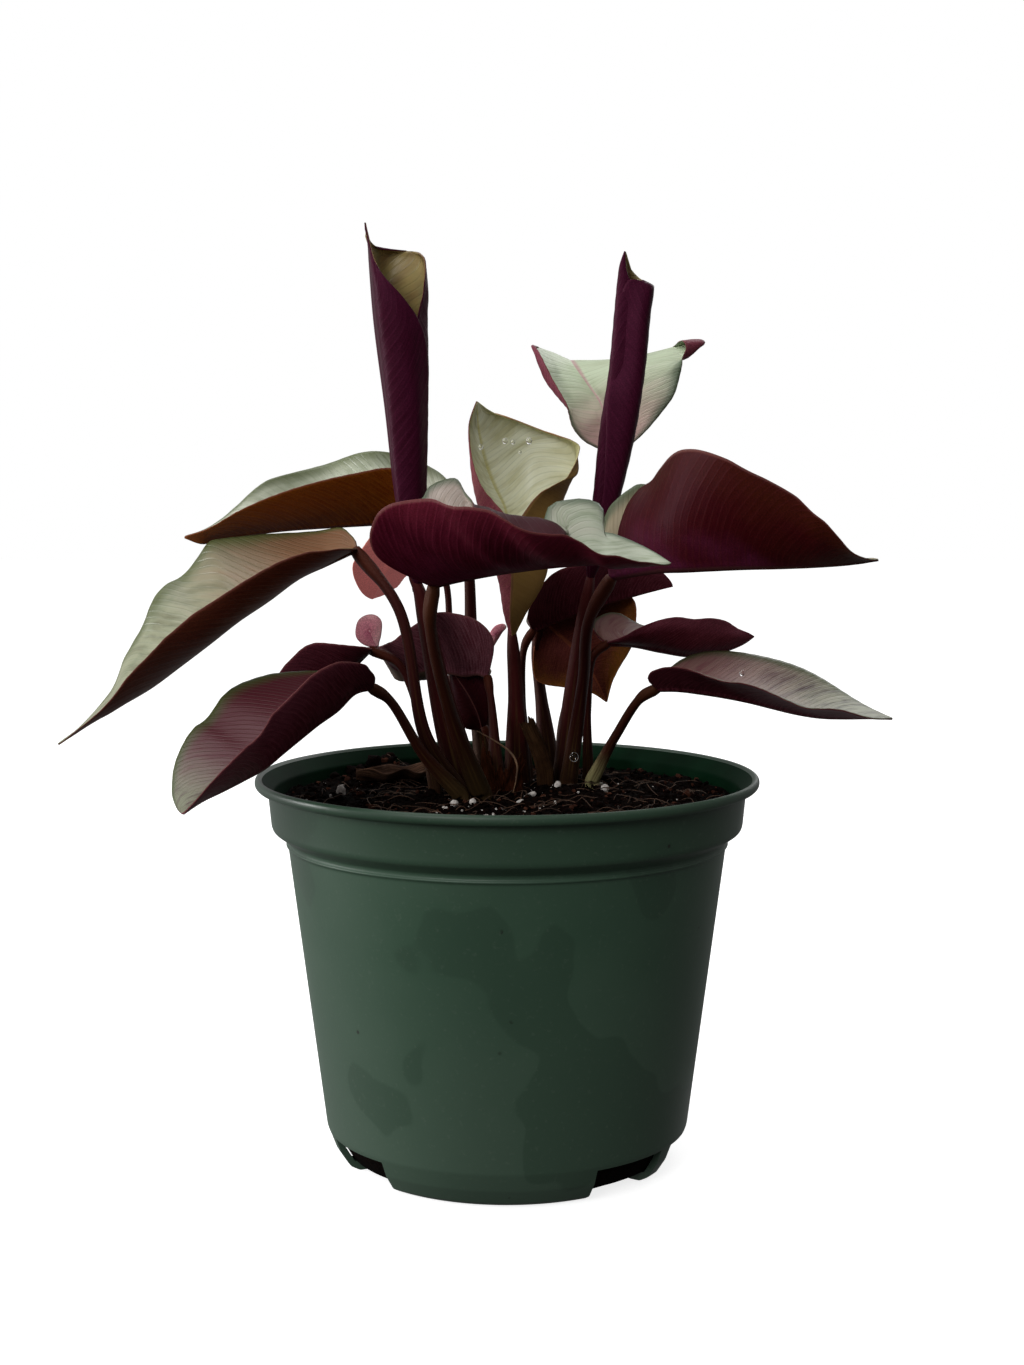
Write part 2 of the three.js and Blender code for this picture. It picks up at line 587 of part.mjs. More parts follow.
function holeCutter(x, y, radius) {
  const above = 12;
  const cutter = new THREE.CylinderGeometry(radius, radius, HOLE_DEPTH + above, HOLE_SIDES);
  return toSolid(upright(cutter).translate(x, y, SOIL_TOP + (above - HOLE_DEPTH) / 2));
}

// A rough grain, half sunk into the soil
function perliteShape(grain, scale) {
  const random = randomSource(Math.round(grain.x * 7 + grain.y * 13 + 900));
  const ball = weld(new THREE.IcosahedronGeometry(grain.radius * scale, 0));
  const place = ball.attributes.position;
  for (let i = 0; i < place.count; i += 1) {
    const bump = 0.82 + 0.3 * random();
    place.setXYZ(i, place.getX(i) * bump, place.getY(i) * bump, place.getZ(i) * bump * 0.85);
  }
  return ball.translate(grain.x, grain.y, soilHeight(grain.x, grain.y) + grain.radius * 0.3);
}

function buildSoil() {
  let soil = toSolid(buildSoilBody());
  const stalks = [...Object.values(LEAVES), ...Object.values(ROLLED)];
  for (const { foot, stalk } of stalks) {
    soil = soil.subtract(holeCutter(foot[0], foot[1], stalk * SHEATH_SWELL + HOLE_CLEARANCE));
  }
  soil = soil.subtract(holeCutter(STUB.foot[0], STUB.foot[1], STUB.radius * STUB_SWELL + HOLE_CLEARANCE));
  for (const grain of PERLITE) soil = soil.subtract(toSolid(perliteShape(grain, PERLITE_SOCKET)));
  return fromSolid(soil);
}

function buildStub() {
  const [x, y] = STUB.foot;
  const path = new THREE.QuadraticBezierCurve3(
    new THREE.Vector3(x, y, SOIL_TOP + 2),
    new THREE.Vector3(x, y, SOIL_TOP + 9),
    new THREE.Vector3(...STUB.top),
  );
  const bottom = new THREE.Vector3(x, y, SOIL_TOP - HOLE_DEPTH + JOINT_GAP);
  const centres = [bottom, ...path.getSpacedPoints(STUB_STEPS)];
  return taperedTube(centres, (t) => STUB.radius * mix(STUB_SWELL, 1, t), PETIOLE_SIDES);
}

// The dry papery sheath that stands in front of the petioles
function buildSheath() {
  const pointAt = (row, column) => {
    const angle = radians(-90 + SHEATH.halfAngle * (2 * column - 1));
    const radius = SHEATH.radius * mix(1, 1.12, row);
    const x = SHEATH.x + radius * Math.cos(angle);
    const y = SHEATH.y + radius * Math.sin(angle) * 0.9;
    const ragged = 0.8 + 0.2 * Math.cos(7 * column) - 0.35 * column;
    return new THREE.Vector3(x, y, soilHeight(x, y) + 0.9 + row * SHEATH.height * ragged);
  };
  const thickness = { above: SHEATH.thickness / 2, below: SHEATH.thickness / 2 };
  return sheetSolid(pointAt, 5, 8, () => thickness);
}

// The dried leaf lying on the soil
function buildDriedLeaf() {
  const h = radians(DRIED_LEAF.heading);
  const pointAt = (row, column) => {
    const along = (row - 0.5) * DRIED_LEAF.length;
    const across = (column - 0.5) * 2 * DRIED_LEAF.width * Math.sin(Math.PI * mix(0.06, 0.94, row));
    const x = DRIED_LEAF.x + along * Math.cos(h) - across * Math.sin(h);
    const y = DRIED_LEAF.y + along * Math.sin(h) + across * Math.cos(h);
    const lift = DRIED_LEAF.lift * (2 * column - 1) ** 2 + 0.8 * Math.sin(9 * row) ** 2;
    return new THREE.Vector3(x, y, soilHeight(x, y) + 1.1 + lift);
  };
  const thickness = { above: DRIED_LEAF.thickness / 2, below: DRIED_LEAF.thickness / 2 };
  return sheetSolid(pointAt, 7, 4, () => thickness);
}

const plant = new THREE.Group();

function addPiece(name, geometry, color, roughness) {
  const merged = weld(geometry);
  merged.computeVertexNormals();
  const mesh = new THREE.Mesh(merged, new THREE.MeshStandardMaterial({ color, roughness, metalness: 0 }));
  mesh.name = name;
  plant.add(mesh);
}

addPiece('pot', buildPot(), '#2f4034', 0.5);
addPiece('soil', buildSoil(), '#2a1712', 0.95);

for (const [name, leaf] of Object.entries(LEAVES)) {
  addPiece(`blade_${name}`, spreadBlade(leaf), leaf.colour, 0.45);
  addPiece(`petiole_${name}`, petiole(leaf, petioleEnd(leaf)), STALK, 0.5);
}

for (const [name, leaf] of Object.entries(ROLLED)) {
  const knee = new THREE.Vector3(...leaf.knee);
  const lean = new THREE.Vector3(...leaf.middle).sub(knee).normalize();
  addPiece(`blade_${name}`, rolledBlade(leaf), leaf.colour, 0.45);
  addPiece(`petiole_${name}`, petiole(leaf, knee.addScaledVector(lean, ROLL_SEAT)), STALK, 0.5);
}

addPiece('cut_petiole_stub', buildStub(), '#5a4636', 0.7);
addPiece('dry_sheath', buildSheath(), '#5b3f2c', 0.8);
addPiece('dried_leaf_on_soil', buildDriedLeaf(), '#4e3020', 0.8);
PERLITE.forEach((grain, index) => {
  addPiece(`perlite_${index + 1}`, perliteShape(grain, 1), '#cdc3ba', 0.9);
});

export default plant;
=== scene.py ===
import json
import math
import random

import bpy
import numpy as np
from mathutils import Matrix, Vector


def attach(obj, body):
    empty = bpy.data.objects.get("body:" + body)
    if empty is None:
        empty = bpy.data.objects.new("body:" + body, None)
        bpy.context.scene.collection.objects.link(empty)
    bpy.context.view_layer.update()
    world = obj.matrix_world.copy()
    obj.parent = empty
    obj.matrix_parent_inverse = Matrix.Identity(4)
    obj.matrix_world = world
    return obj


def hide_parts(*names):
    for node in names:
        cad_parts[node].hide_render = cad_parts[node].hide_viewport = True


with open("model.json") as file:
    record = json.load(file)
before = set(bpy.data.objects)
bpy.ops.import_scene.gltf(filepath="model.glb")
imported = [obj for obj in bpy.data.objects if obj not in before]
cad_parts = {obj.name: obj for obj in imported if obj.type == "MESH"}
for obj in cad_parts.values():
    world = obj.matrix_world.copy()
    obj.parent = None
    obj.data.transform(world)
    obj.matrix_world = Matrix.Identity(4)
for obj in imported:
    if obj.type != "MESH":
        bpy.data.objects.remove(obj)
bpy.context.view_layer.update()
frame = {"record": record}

MM = 0.001

# Camera fitted to the pot's outlines in the photo, which is 1024 by 1365 pixels
CAMERA_DISTANCE = 687.3
CAMERA_HEIGHT = 231.8
CAMERA_SIDE = 1.6
CAMERA_PITCH = 6.12
FOCAL_PIXELS = 2111.3
PHOTO_WIDTH = 1024
PHOTO_HEIGHT = 1365
SENSOR = 36

# Soil, in the same values as the CAD
SOIL_TOP = 120
SOIL_BUMP = 0.7
SOIL_CLUMP = {"x": -44, "y": 52, "radius": 11, "height": 5}
SOIL_EDGE = 75.3
HOLE_DEPTH = 9
JOINT_GAP = 0.3

# Leaves, in the same values as the CAD
BASE_ROUNDNESS = 0.55
TIP_ROUNDNESS = 0.75
LOBE_PEAK = 14.9
FLATTEST_CURL = 0.5
MARGIN_PULL = 0.8
MIDRIB_STEPS = 96
SHEATH_SWELL = 1.5
PETIOLE_TAPER = 0.85
KNEE_SWELL = 1.12
ROLL_SEAT = 1.2

# Finer build of the blades: the rib stands out below, and a groove runs along it above
BLADE_ROWS = 84
BLADE_COLUMNS = 56
BLADE_THICKNESS = 0.55
BLADE_START = 0.004
BLADE_REACH = 0.994
COLUMN_CROWDING = 0.92
PLEATS = 20
PLEAT_HEIGHT = 0.05
RIB = {"width": 1.1, "height": 0.75, "end": 1.15}
GROOVE = {"width": 0.9, "height": 0.2, "end": 1.1}
RIM_START = 0.955
RIM_WIDTH = 0.045
RIM_THINNEST = 0.12


def leaf(foot, via, base, heading, turn, pitch, droop, length, lobe, stalk, near, far):
    return {
        "foot": foot, "via": via, "base": base, "heading": heading, "turn": turn,
        "pitch": pitch, "droop": droop, "length": length, "lobe": lobe, "stalk": stalk,
        "near": near, "far": far,
    }


def half(width, fold, curl, wave):
    return {"width": width, "fold": fold, "curl": curl, "wave": wave}


# foot, via, base, heading, turn, pitch, droop, length, lobe, stalk, then the half that faces the
# camera and the half behind: width, fold at base and tip, curl, wave [height, count, phase]
LEAVES = {
    "big_right": leaf(
        [21, 27], [[25, 4, 158], [26.5, -17, 181]], [32, -22, 193.5], -23, 12, 7, -5, 84, 0.17, 2.1,
        half(37, [106, 2], 40, [5.4, 1.5, 0.1]), half(36, [54, 24], 15, [3, 2.2, 0.2])),
    "front_curl": leaf(
        [-8.5, -3.5], [[-18, -28, 152], [-23.5, -44, 182]], [-23, -46, 192.5],
        -18, 5, 14, -16, 75, 0.2, 2,
        half(47, [14, -14], 45, [3.8, 1.3, 0.1]), half(42, [76, 33], -64, [5.7, 2, 0.2])),
    "upper_left": leaf(
        [-7, 33], [[-12, 36, 165], [-15, 28, 203]], [-22, 22, 211], 161, 28, -6, 3, 88, 0.08, 2,
        half(29, [44, 17], 8, [0.4, 2, 0]), half(34, [23, 11], 55, [3.8, 2.3, 0.6])),
    "big_left": leaf(
        [-15.5, 1], [[-26.5, -10, 142], [-34.5, -14, 183]], [-48, -4, 202.3],
        181, 3, -27, -12, 117, 0.04, 2,
        half(32, [0, 0], 45, [1.2, 2.9, 0.9]), half(38, [40, 10], 18, [1.5, 3, 0.4])),
    "low_left": leaf(
        [-15, -7.5], [[-17.5, -9.5, 125], [-27, -17, 137], [-37, -25, 155]], [-42, -30, 160],
        221, 6, -18, -13, 80, 0.03, 1.7,
        half(28, [42, 38], 25, [1, 1.6, 0.7]), half(35, [25, -1], 5, [0.9, 2.4, 0.1])),
    "behind_low_left": leaf(
        [-24, 7], [[-29, 6, 147], [-36, 4, 164]], [-45, 4, 169], 160, 0, -52, 10, 56, 0.06, 1.5,
        half(22, [20, 20], 10, [0.5, 2, 0]), half(27, [20, 70], 12, [1.5, 2.2, 0.5])),
    "mid_right": leaf(
        [28, 36], [[27.5, 31, 145], [29.5, 25, 165]], [33, 20, 169.3], 27, 10, -15, 29, 64, 0.12, 1.4,
        half(21, [27, 28], 10, [1.5, 3, 0.7]), half(15, [40, 30], 10, [1, 2, 0])),
    "low_right": leaf(
        [29, 26], [[36, 9, 139], [44, -2, 153.5]], [48, -4, 156.5], -13, 4, -6, 0, 77, 0.05, 1.7,
        half(26, [38, 8], -19, [1.1, 2.9, 0]), half(34, [13, -1], 27, [0.4, 2, 0])),
    "dark_right": leaf(
        [6, 43], [[4.8, 43, 150], [6, 45, 166]], [8.5, 46, 171.5], 5, 1, 22, -10, 52, 0.1, 1.4,
        half(24, [35, 59], 6, [1.8, 1.9, 0.8]), half(12, [30, 30], 10, [1, 2, 0])),
    "hanging_back": leaf(
        [15, 51], [[11.5, 54, 150], [10, 54, 163]], [13, 54, 169], 15, 5, -35, -32, 36, 0.1, 1.8,
        half(24, [-20, -20], -10, [1.2, 2, 0.9]), half(31, [50, 30], 40, [0.6, 2, 0])),
    "centre_left": leaf(
        [-3.5, 12], [[-5, 15, 147]], [-6.2, 18, 158.4], 168, -8, 16, -47, 42, 0.1, 1.4,
        half(24, [60, 34], 8, [0.9, 2, 0]), half(12, [30, 20], 10, [1, 2, 0])),
    "red_back": leaf(
        [-16, 43], [[-20, 48, 160], [-22, 47, 190]], [-29, 44, 200], 150, 0, -25, -45, 34, 0.1, 1.3,
        half(14, [15, 5], 9, [0.9, 1.6, 0.9]), half(17, [7, 0], 0, [1.2, 2, 0])),
    "low_back": leaf(
        [-4, 23], [[-5, 24, 134]], [-8, 24, 141], 175, 0, 35, -20, 20, 0.1, 1.2,
        half(11, [50, 30], 10, [0.6, 2, 0]), half(7, [40, 20], 10, [0.6, 2, 0])),
    "back_upright": leaf(
        [20, 62], [[20.5, 67, 135], [30, 76, 172], [35, 64, 218]], [37, 56, 232],
        100, 0, 66, -80, 80, 0.03, 1.9,
        half(29, [52, 5], -4, [1.5, 2, 0.2]), half(33, [48, -4], 4, [1.5, 2, 0.2])),
}

# Leaves not yet open: the petiole's foot, way and end, a point higher up on the blade's axis, and the
# petiole's radius
ROLLED = {
    "tall_left": {"foot": [-14, 10], "via": [[-22, 2, 155]], "knee": [-28.5, -6, 188],
                  "middle": [-32.7, -8, 250], "stalk": 3},
    "tall_right": {"foot": [20, 37], "via": [[23.3, 28.5, 160]], "knee": [27.5, 22, 188],
                   "middle": [37.2, 22, 250], "stalk": 2.6},
    "funnel": {"foot": [3.5, 33], "via": [[2.9, 25, 152]], "knee": [1.5, 23, 171],
               "middle": [4.5, 17, 207], "stalk": 2.4},
}

# Finer shape of some half blades than in the CAD: rows of u and three points from the rib out to
# the margin, each as [photo pixel x, photo pixel y, depth y in millimetres]. A rib has one such point.
LEAVES["front_curl"]["far"]["rows"] = [
    [0.08, [426, 560, -44], [418, 535, -40], [412, 512, -36]],
    [0.14, [438, 545, -42], [430, 516, -36], [424, 496, -30]],
    [0.18, [450, 540, -42], [440, 508, -34], [429, 487, -27]],
    [0.22, [462, 536, -42], [450, 504, -34], [443, 480, -26]],
    [0.26, [472, 534, -42], [460, 504, -34], [457, 479, -27]],
    [0.30, [480, 534, -42], [468, 508, -35], [465, 492, -31]],
    [0.34, [488, 538, -42], [476, 508, -37], [473, 504, -40]],
    [0.38, [494, 542, -43], [486, 508, -40], [470, 520, -54]],
    [0.44, [505, 545, -44], [504, 514, -42], [488, 532, -57]],
    [0.5, [520, 548, -46], [524, 517, -43], [508, 540, -58]],
    [0.55, [534, 548, -48], [542, 519, -44], [530, 540, -58]],
    [0.585, [544, 548, -49], [556, 524, -47], [548, 541, -58]],
    [0.62, [552, 548, -50], [566, 533, -50], [562, 543, -58]],
    [0.64, [558, 548, -51], [568, 533, -49], [560, 530, -50]],
    [0.655, [562, 547, -51], [566, 528, -46], [544, 519, -42]],
    [0.67, [566, 547, -51], [567, 521, -45], [550, 505, -40]],
    [0.69, [570, 547, -52], [576, 520, -45], [567, 500, -39]],
    [0.71, [576, 548, -52], [586, 522, -46], [586, 499, -39]],
    [0.73, [584, 549, -53], [596, 528, -48], [601, 505, -40]],
    [0.75, [592, 551, -54], [602, 536, -50], [604, 518, -43]],
    [0.775, [600, 554, -55], [607, 542, -52], [601, 530, -47]],
    [0.8, [610, 556, -57], [616, 546, -54], [614, 534, -50]],
    [0.85, [626, 559, -59], [631, 550, -56], [632, 541, -53]],
    [0.91, [643, 562, -61], [648, 556, -60], [649, 549, -58]],
    [0.96, [659, 564, -65], [661, 560, -64], [661, 556, -63]],
]

LEAVES["back_upright"]["rib"] = [
    [0, [613, 456, 56]], [0.15, [609, 432, 58]], [0.3, [604, 412, 61]], [0.42, [598, 399, 64]],
    [0.52, [590, 388, 68]], [0.6, [581, 375, 73]], [0.67, [574, 365, 79]], [0.73, [571, 361, 85]],
    [0.85, [572, 365, 97]], [1, [576, 371, 111]],
]
LEAVES["back_upright"]["far"]["rows"] = [
    [0.1, [615, 442, 57], [620, 444, 56], [628, 447, 53]],
    [0.2, [618, 425, 57], [632, 428, 54], [645, 432, 50]],
    [0.3, [620, 408, 58], [641, 409, 54], [662, 412, 49]],
    [0.4, [620, 392, 60], [647, 391, 55], [674, 395, 49]],
    [0.5, [618, 378, 63], [650, 373, 58], [680, 375, 52]],
    [0.57, [622, 369, 66], [664, 363, 59], [682, 365, 52]],
    [0.62, [628, 362, 69], [684, 358, 59], [683, 356, 53]],
    [0.66, [630, 359, 72], [694, 350, 60], [686, 349, 54]],
    [0.7, [628, 358, 76], [702, 344, 62], [684, 342, 56]],
    [0.74, [624, 359, 80], [696, 341, 66], [680, 341, 62]],
    [0.8, [618, 361, 86], [668, 352, 76], [674, 346, 70]],
    [0.88, [605, 365, 94], [635, 362, 90], [650, 362, 88]],
]
LEAVES["back_upright"]["near"]["rows"] = [
    [0.1, [608, 442, 57], [604, 446, 56], [599, 449, 53]],
    [0.2, [600, 428, 58], [593, 436, 55], [584, 441, 51]],
    [0.3, [594, 418, 58], [583, 424, 54], [573, 428, 49]],
    [0.4, [588, 406, 61], [574, 411, 56], [569, 415, 50]],
    [0.48, [582, 395, 63], [565, 403, 56], [567, 405, 49]],
    [0.56, [574, 384, 67], [555, 392, 58], [560, 392, 51]],
    [0.63, [566, 373, 72], [546, 380, 61], [552, 378, 54]],
    [0.69, [560, 363, 77], [540, 366, 63], [544, 362, 57]],
    [0.74, [556, 356, 82], [535, 352, 66], [539, 352, 61]],
    [0.79, [555, 354, 86], [533, 346, 70], [536, 347, 67]],
    [0.86, [562, 360, 93], [548, 354, 86], [546, 352, 84]],
    [0.93, [568, 366, 98], [560, 362, 96], [558, 361, 95]],
]


def opening(near_width, far_width):
    """A blade not yet open, whose rib and both halves are given by rows alone."""
    return {"heading": 90, "turn": 0, "near": {"width": near_width}, "far": {"width": far_width}}


OPENING = {"funnel": opening(40, 20), "tall_left": opening(27, 27), "tall_right": opening(14, 14)}
OPENING["funnel"]["rib"] = [
    [0, [512, 640, 23]], [0.12, [511, 612, 24]], [0.3, [509, 570, 27]], [0.45, [508, 536, 30]],
    [0.55, [505, 510, 32]], [0.66, [494, 487, 32]], [0.74, [487, 470, 31]], [0.86, [480, 443, 28]],
    [0.95, [477, 420, 24]], [1, [477, 401, 20]],
]
OPENING["funnel"]["near"]["rows"] = [
    [0.1, [517, 614, 25], [524, 616, 20], [510, 618, 14]],
    [0.25, [528, 580, 28], [543, 582, 20], [511, 586, 10]],
    [0.4, [530, 545, 32], [553, 540, 22], [513, 540, 8]],
    [0.5, [532, 515, 35], [560, 508, 24], [522, 516, 8]],
    [0.58, [532, 490, 37], [566, 492, 25], [538, 495, 10]],
    [0.66, [532, 465, 38], [571, 478, 24], [556, 484, 12]],
    [0.74, [530, 448, 38], [576, 465, 26], [569, 475, 17]],
    [0.8, [527, 438, 37], [568, 445, 31], [579, 453, 22]],
    [0.86, [515, 427, 36], [546, 433, 34], [575, 442, 25]],
    [0.91, [503, 419, 33], [525, 425, 33], [548, 433, 30]],
    [0.95, [492, 414, 29], [503, 416, 30], [517, 421, 30]],
    [0.98, [482, 411, 25], [487, 412, 26], [492, 412, 27]],
]
OPENING["funnel"]["far"]["rows"] = [
    [0.1, [508, 616, 22], [505, 616, 18], [514, 618, 16]],
    [0.25, [503, 584, 24], [500, 582, 17], [518, 586, 13]],
    [0.4, [496, 545, 24], [490, 545, 16], [522, 540, 11]],
    [0.5, [492, 522, 27], [483, 520, 17], [508, 518, 6]],
    [0.58, [488, 502, 28], [477.5, 502, 18], [494, 502, 8]],
    [0.66, [484, 487, 28], [474, 487, 19], [482, 487, 10]],
    [0.74, [479, 468, 28], [471.5, 468, 19], [474, 467, 14]],
    [0.8, [476, 454, 27], [470.5, 452, 20], [471, 452, 17]],
    [0.86, [474.5, 441, 26], [469.5, 438, 21], [469.5, 437, 19]],
    [0.92, [473, 427, 25], [470, 424, 22], [469.5, 423, 20]],
    [0.97, [475, 411, 22], [473.5, 411, 20], [473, 411, 19]],
]
LEAVES["hanging_back"]["rib"] = [
    [0, [539, 617, 54]], [0.25, [553, 630, 53]], [0.5, [571, 646, 51]], [0.75, [590, 670, 48]],
    [1, [607, 702, 45]],
]
LEAVES["hanging_back"]["near"]["rows"] = [
    [0.12, [540, 626, 54], [537, 633, 54], [535, 640, 53]],
    [0.3, [548, 646, 53], [540, 660, 52], [533, 670, 50]],
    [0.5, [562, 662, 51], [552, 675, 51], [541, 683, 49]],
    [0.7, [578, 676, 50], [572, 684, 49], [565, 687.5, 48]],
    [0.85, [592, 686, 47], [588, 690, 47], [584, 690, 47]],
    [0.95, [601, 695, 46], [599, 696, 46], [597, 695, 46]],
]
LEAVES["hanging_back"]["far"]["rows"] = [
    [0.1, [552, 614, 56], [566, 602, 56], [580, 594, 54]],
    [0.25, [570, 620, 56], [592, 606, 57], [612, 592, 54]],
    [0.45, [588, 628, 55], [612, 612, 56], [634, 600, 52]],
    [0.62, [600, 645, 53], [619, 632, 54], [636, 622, 50]],
    [0.78, [605, 662, 51], [618, 652, 51], [631, 648, 49]],
    [0.9, [606, 684, 48], [611, 677, 48], [617, 672, 47]],
    [0.96, [607, 693, 46], [609, 689, 46], [611.5, 684, 46]],
]
LEAVES["mid_right"]["rib"] = [
    [0, [607, 643, 23]], [0.2, [634, 645, 24]], [0.4, [662, 651, 25]], [0.6, [692, 655.5, 26]],
    [0.8, [724, 651, 27]], [0.92, [744, 643, 28]], [1, [754, 636, 29]],
]
LEAVES["mid_right"]["near"]["rows"] = [
    [0.06, [612, 642, 20], [616, 640, 18], [620, 639, 17]],
    [0.14, [622, 642, 18], [628, 637, 15], [633, 631, 14]],
    [0.25, [640, 642, 18], [647, 633, 14], [653, 622, 15]],
    [0.38, [660, 642, 18], [668, 630, 14], [676, 617, 16]],
    [0.5, [678, 646, 19], [686, 632, 15], [694, 619, 17]],
    [0.62, [694, 648, 20], [702, 634, 17], [711, 618, 19]],
    [0.74, [712, 646, 22], [719, 635, 20], [726, 621, 22]],
    [0.86, [733, 642, 24], [736, 636, 23], [739, 629, 25]],
    [0.94, [746, 639, 27], [748, 636, 27], [749, 633, 27]],
]
LEAVES["mid_right"]["far"]["rows"] = [
    [0.05, [602, 640, 25], [598, 636, 27], [594, 630, 27]],
    [0.1, [604, 635, 26], [599, 627, 29], [594, 621, 30]],
    [0.16, [612, 632, 28], [607, 622, 32], [604, 614, 33]],
    [0.24, [622, 633, 29], [620, 622, 34], [618, 613, 36]],
    [0.33, [636, 637, 30], [635, 628, 36], [633, 621, 39]],
    [0.45, [655, 642, 31], [654, 634, 37], [652, 628, 41]],
    [0.6, [684, 646, 32], [684, 638, 37], [684, 632, 41]],
    [0.8, [720, 646, 31], [720, 641, 34], [720, 637, 37]],
    [0.92, [742, 641, 30], [742, 639, 31], [742, 638, 32]],
]

# Where margins and midribs of the other leaves show in the photo: rows of [u, pixel x, pixel y]
LEAVES["big_left"]["spine"] = [
    [0.1, 327, 563], [0.2, 298, 577], [0.3, 267, 600], [0.4, 238, 620], [0.5, 209, 643],
    [0.6, 179, 666], [0.7, 151, 687], [0.8, 121, 705], [0.9, 92, 722], [0.95, 75, 733],
]
LEAVES["big_left"]["near"]["edge"] = [
    [0.05, 339, 549], [0.1, 324, 551], [0.15, 309, 552], [0.2, 292, 557], [0.25, 277, 563],
    [0.3, 260, 572], [0.35, 243, 582], [0.4, 226, 593], [0.45, 209, 604], [0.5, 192, 615],
    [0.55, 178, 627], [0.6, 164, 639], [0.65, 151, 653], [0.7, 138, 666], [0.75, 126, 679],
    [0.8, 116, 693], [0.85, 104, 707], [0.9, 91, 719], [0.95, 76, 731],
]
LEAVES["big_left"]["far"]["edge"] = [
    [0.02, 352, 536], [0.05, 343, 528], [0.1, 324, 530], [0.15, 305, 532], [0.2, 286, 533],
    [0.25, 266, 534], [0.3, 246, 536], [0.35, 227, 538], [0.4, 209, 542], [0.45, 196, 560],
    [0.5, 182, 576], [0.55, 167, 584], [0.6, 156, 595], [0.65, 149, 609], [0.7, 143, 625],
    [0.75, 134, 641], [0.8, 124, 659], [0.85, 115, 684], [0.9, 101, 704], [0.95, 79, 728],
]
LEAVES["low_left"]["spine"] = [
    [0.1, 354, 692], [0.2, 337, 709], [0.3, 318, 723], [0.4, 301, 737], [0.5, 283, 752],
    [0.6, 264, 768], [0.7, 243, 780], [0.8, 222, 791], [0.9, 202, 801], [1, 183, 814],
]
LEAVES["low_left"]["near"]["edge"] = [
    [0.05, 371, 671], [0.1, 366, 665], [0.15, 358, 663], [0.2, 349, 662], [0.25, 339, 662],
    [0.3, 330, 665], [0.35, 320, 670], [0.4, 310, 677], [0.45, 301, 686], [0.5, 292, 695],
    [0.55, 282, 705], [0.6, 272, 715], [0.65, 264, 729], [0.7, 256, 739], [0.75, 246, 747],
    [0.8, 234, 759], [0.85, 221, 772], [0.9, 208, 786], [0.95, 196, 800], [1, 183, 814],
]
LEAVES["low_left"]["far"]["edge"] = [
    [0.1, 322, 671], [0.15, 305, 671], [0.2, 288, 672], [0.25, 271, 674], [0.3, 256, 678],
    [0.35, 242, 683], [0.4, 231, 689], [0.45, 221, 698], [0.5, 213, 710], [0.55, 205, 720],
    [0.6, 195, 727], [0.65, 187, 737], [0.7, 181, 748], [0.75, 176, 760], [0.8, 173, 772],
    [0.85, 172, 784], [0.9, 172, 795], [0.95, 175, 805], [1, 183, 814],
]
LEAVES["behind_low_left"]["spine"] = [[0.5, 318, 700], [0.9, 281, 733], [1, 276, 740]]
LEAVES["behind_low_left"]["near"]["edge"] = [
    [0.05, 372, 649], [0.1, 364, 647], [0.15, 354, 646], [0.2, 344, 645], [0.25, 334, 644],
    [0.3, 324, 643], [0.35, 315, 643], [0.4, 306, 646], [0.45, 299, 651], [0.5, 292, 658],
    [0.55, 285, 665], [0.6, 280, 672], [0.7, 274, 690], [0.8, 272, 710], [0.9, 272, 725], [1, 276, 740],
]
LEAVES["behind_low_left"]["far"]["edge"] = [
    [0.05, 372, 651], [0.1, 364, 650], [0.2, 346, 649], [0.3, 327, 648], [0.35, 317, 648],
    [0.4, 309, 650], [0.5, 296, 660], [0.6, 284, 675], [0.7, 277, 692], [0.8, 274, 710],
    [0.9, 273, 725], [1, 276, 740],
]
LEAVES["upper_left"]["spine"] = [
    [0.5, 317, 527], [0.6, 291, 529], [0.7, 265, 532], [0.8, 239, 536], [0.9, 213, 541],
    [0.95, 201, 543], [1, 184, 537],
]
LEAVES["upper_left"]["near"]["edge"] = [
    [0.2, 390, 468], [0.3, 362, 472], [0.4, 333, 478], [0.5, 306, 485], [0.6, 281, 493],
    [0.7, 258, 502], [0.8, 235, 513], [0.9, 211, 527], [0.95, 199, 532], [1, 184, 537],
]
LEAVES["upper_left"]["far"]["edge"] = [
    [0.5, 330, 463], [0.55, 316, 467], [0.6, 300, 471], [0.65, 284, 475], [0.7, 268, 480],
    [0.75, 256, 488], [0.8, 245, 498], [0.85, 232, 510], [0.9, 217, 522], [0.95, 201, 531], [1, 184, 537],
]
LEAVES["big_right"]["spine"] = [
    [0.2, 659, 571], [0.3, 685, 570], [0.4, 711, 569], [0.5, 738, 568], [0.7, 792, 567],
    [0.8, 820, 566], [0.9, 850, 564], [1, 879, 560],
]
LEAVES["big_right"]["near"]["edge"] = [
    [0.05, 602, 538], [0.1, 606, 524], [0.15, 613, 512], [0.2, 625, 498], [0.25, 640, 488],
    [0.3, 652, 480], [0.35, 662, 466], [0.4, 676, 452], [0.45, 693, 449], [0.5, 711, 453],
    [0.55, 729, 460], [0.6, 747, 470], [0.65, 764, 478], [0.7, 781, 487], [0.75, 797, 497],
    [0.8, 811, 511], [0.85, 826, 523], [0.9, 840, 539], [0.95, 854, 554], [1, 879, 560],
]
LEAVES["big_right"]["far"]["edge"] = [
    [0.1, 604, 520], [0.15, 609, 508], [0.2, 617, 499], [0.25, 628, 490], [0.3, 641, 484],
    [0.35, 668, 488], [0.6, 769, 500], [0.7, 798, 515], [0.75, 808, 527], [0.8, 820, 535],
    [0.85, 833, 543], [0.9, 846, 551], [0.95, 858, 558], [1, 879, 560],
]
LEAVES["low_right"]["spine"] = [
    [0.1, 678, 689], [0.2, 701, 692], [0.3, 725, 696], [0.4, 749, 701], [0.5, 772, 707],
    [0.6, 796, 713], [0.7, 820, 717], [0.8, 844, 718], [0.9, 869, 718],
]
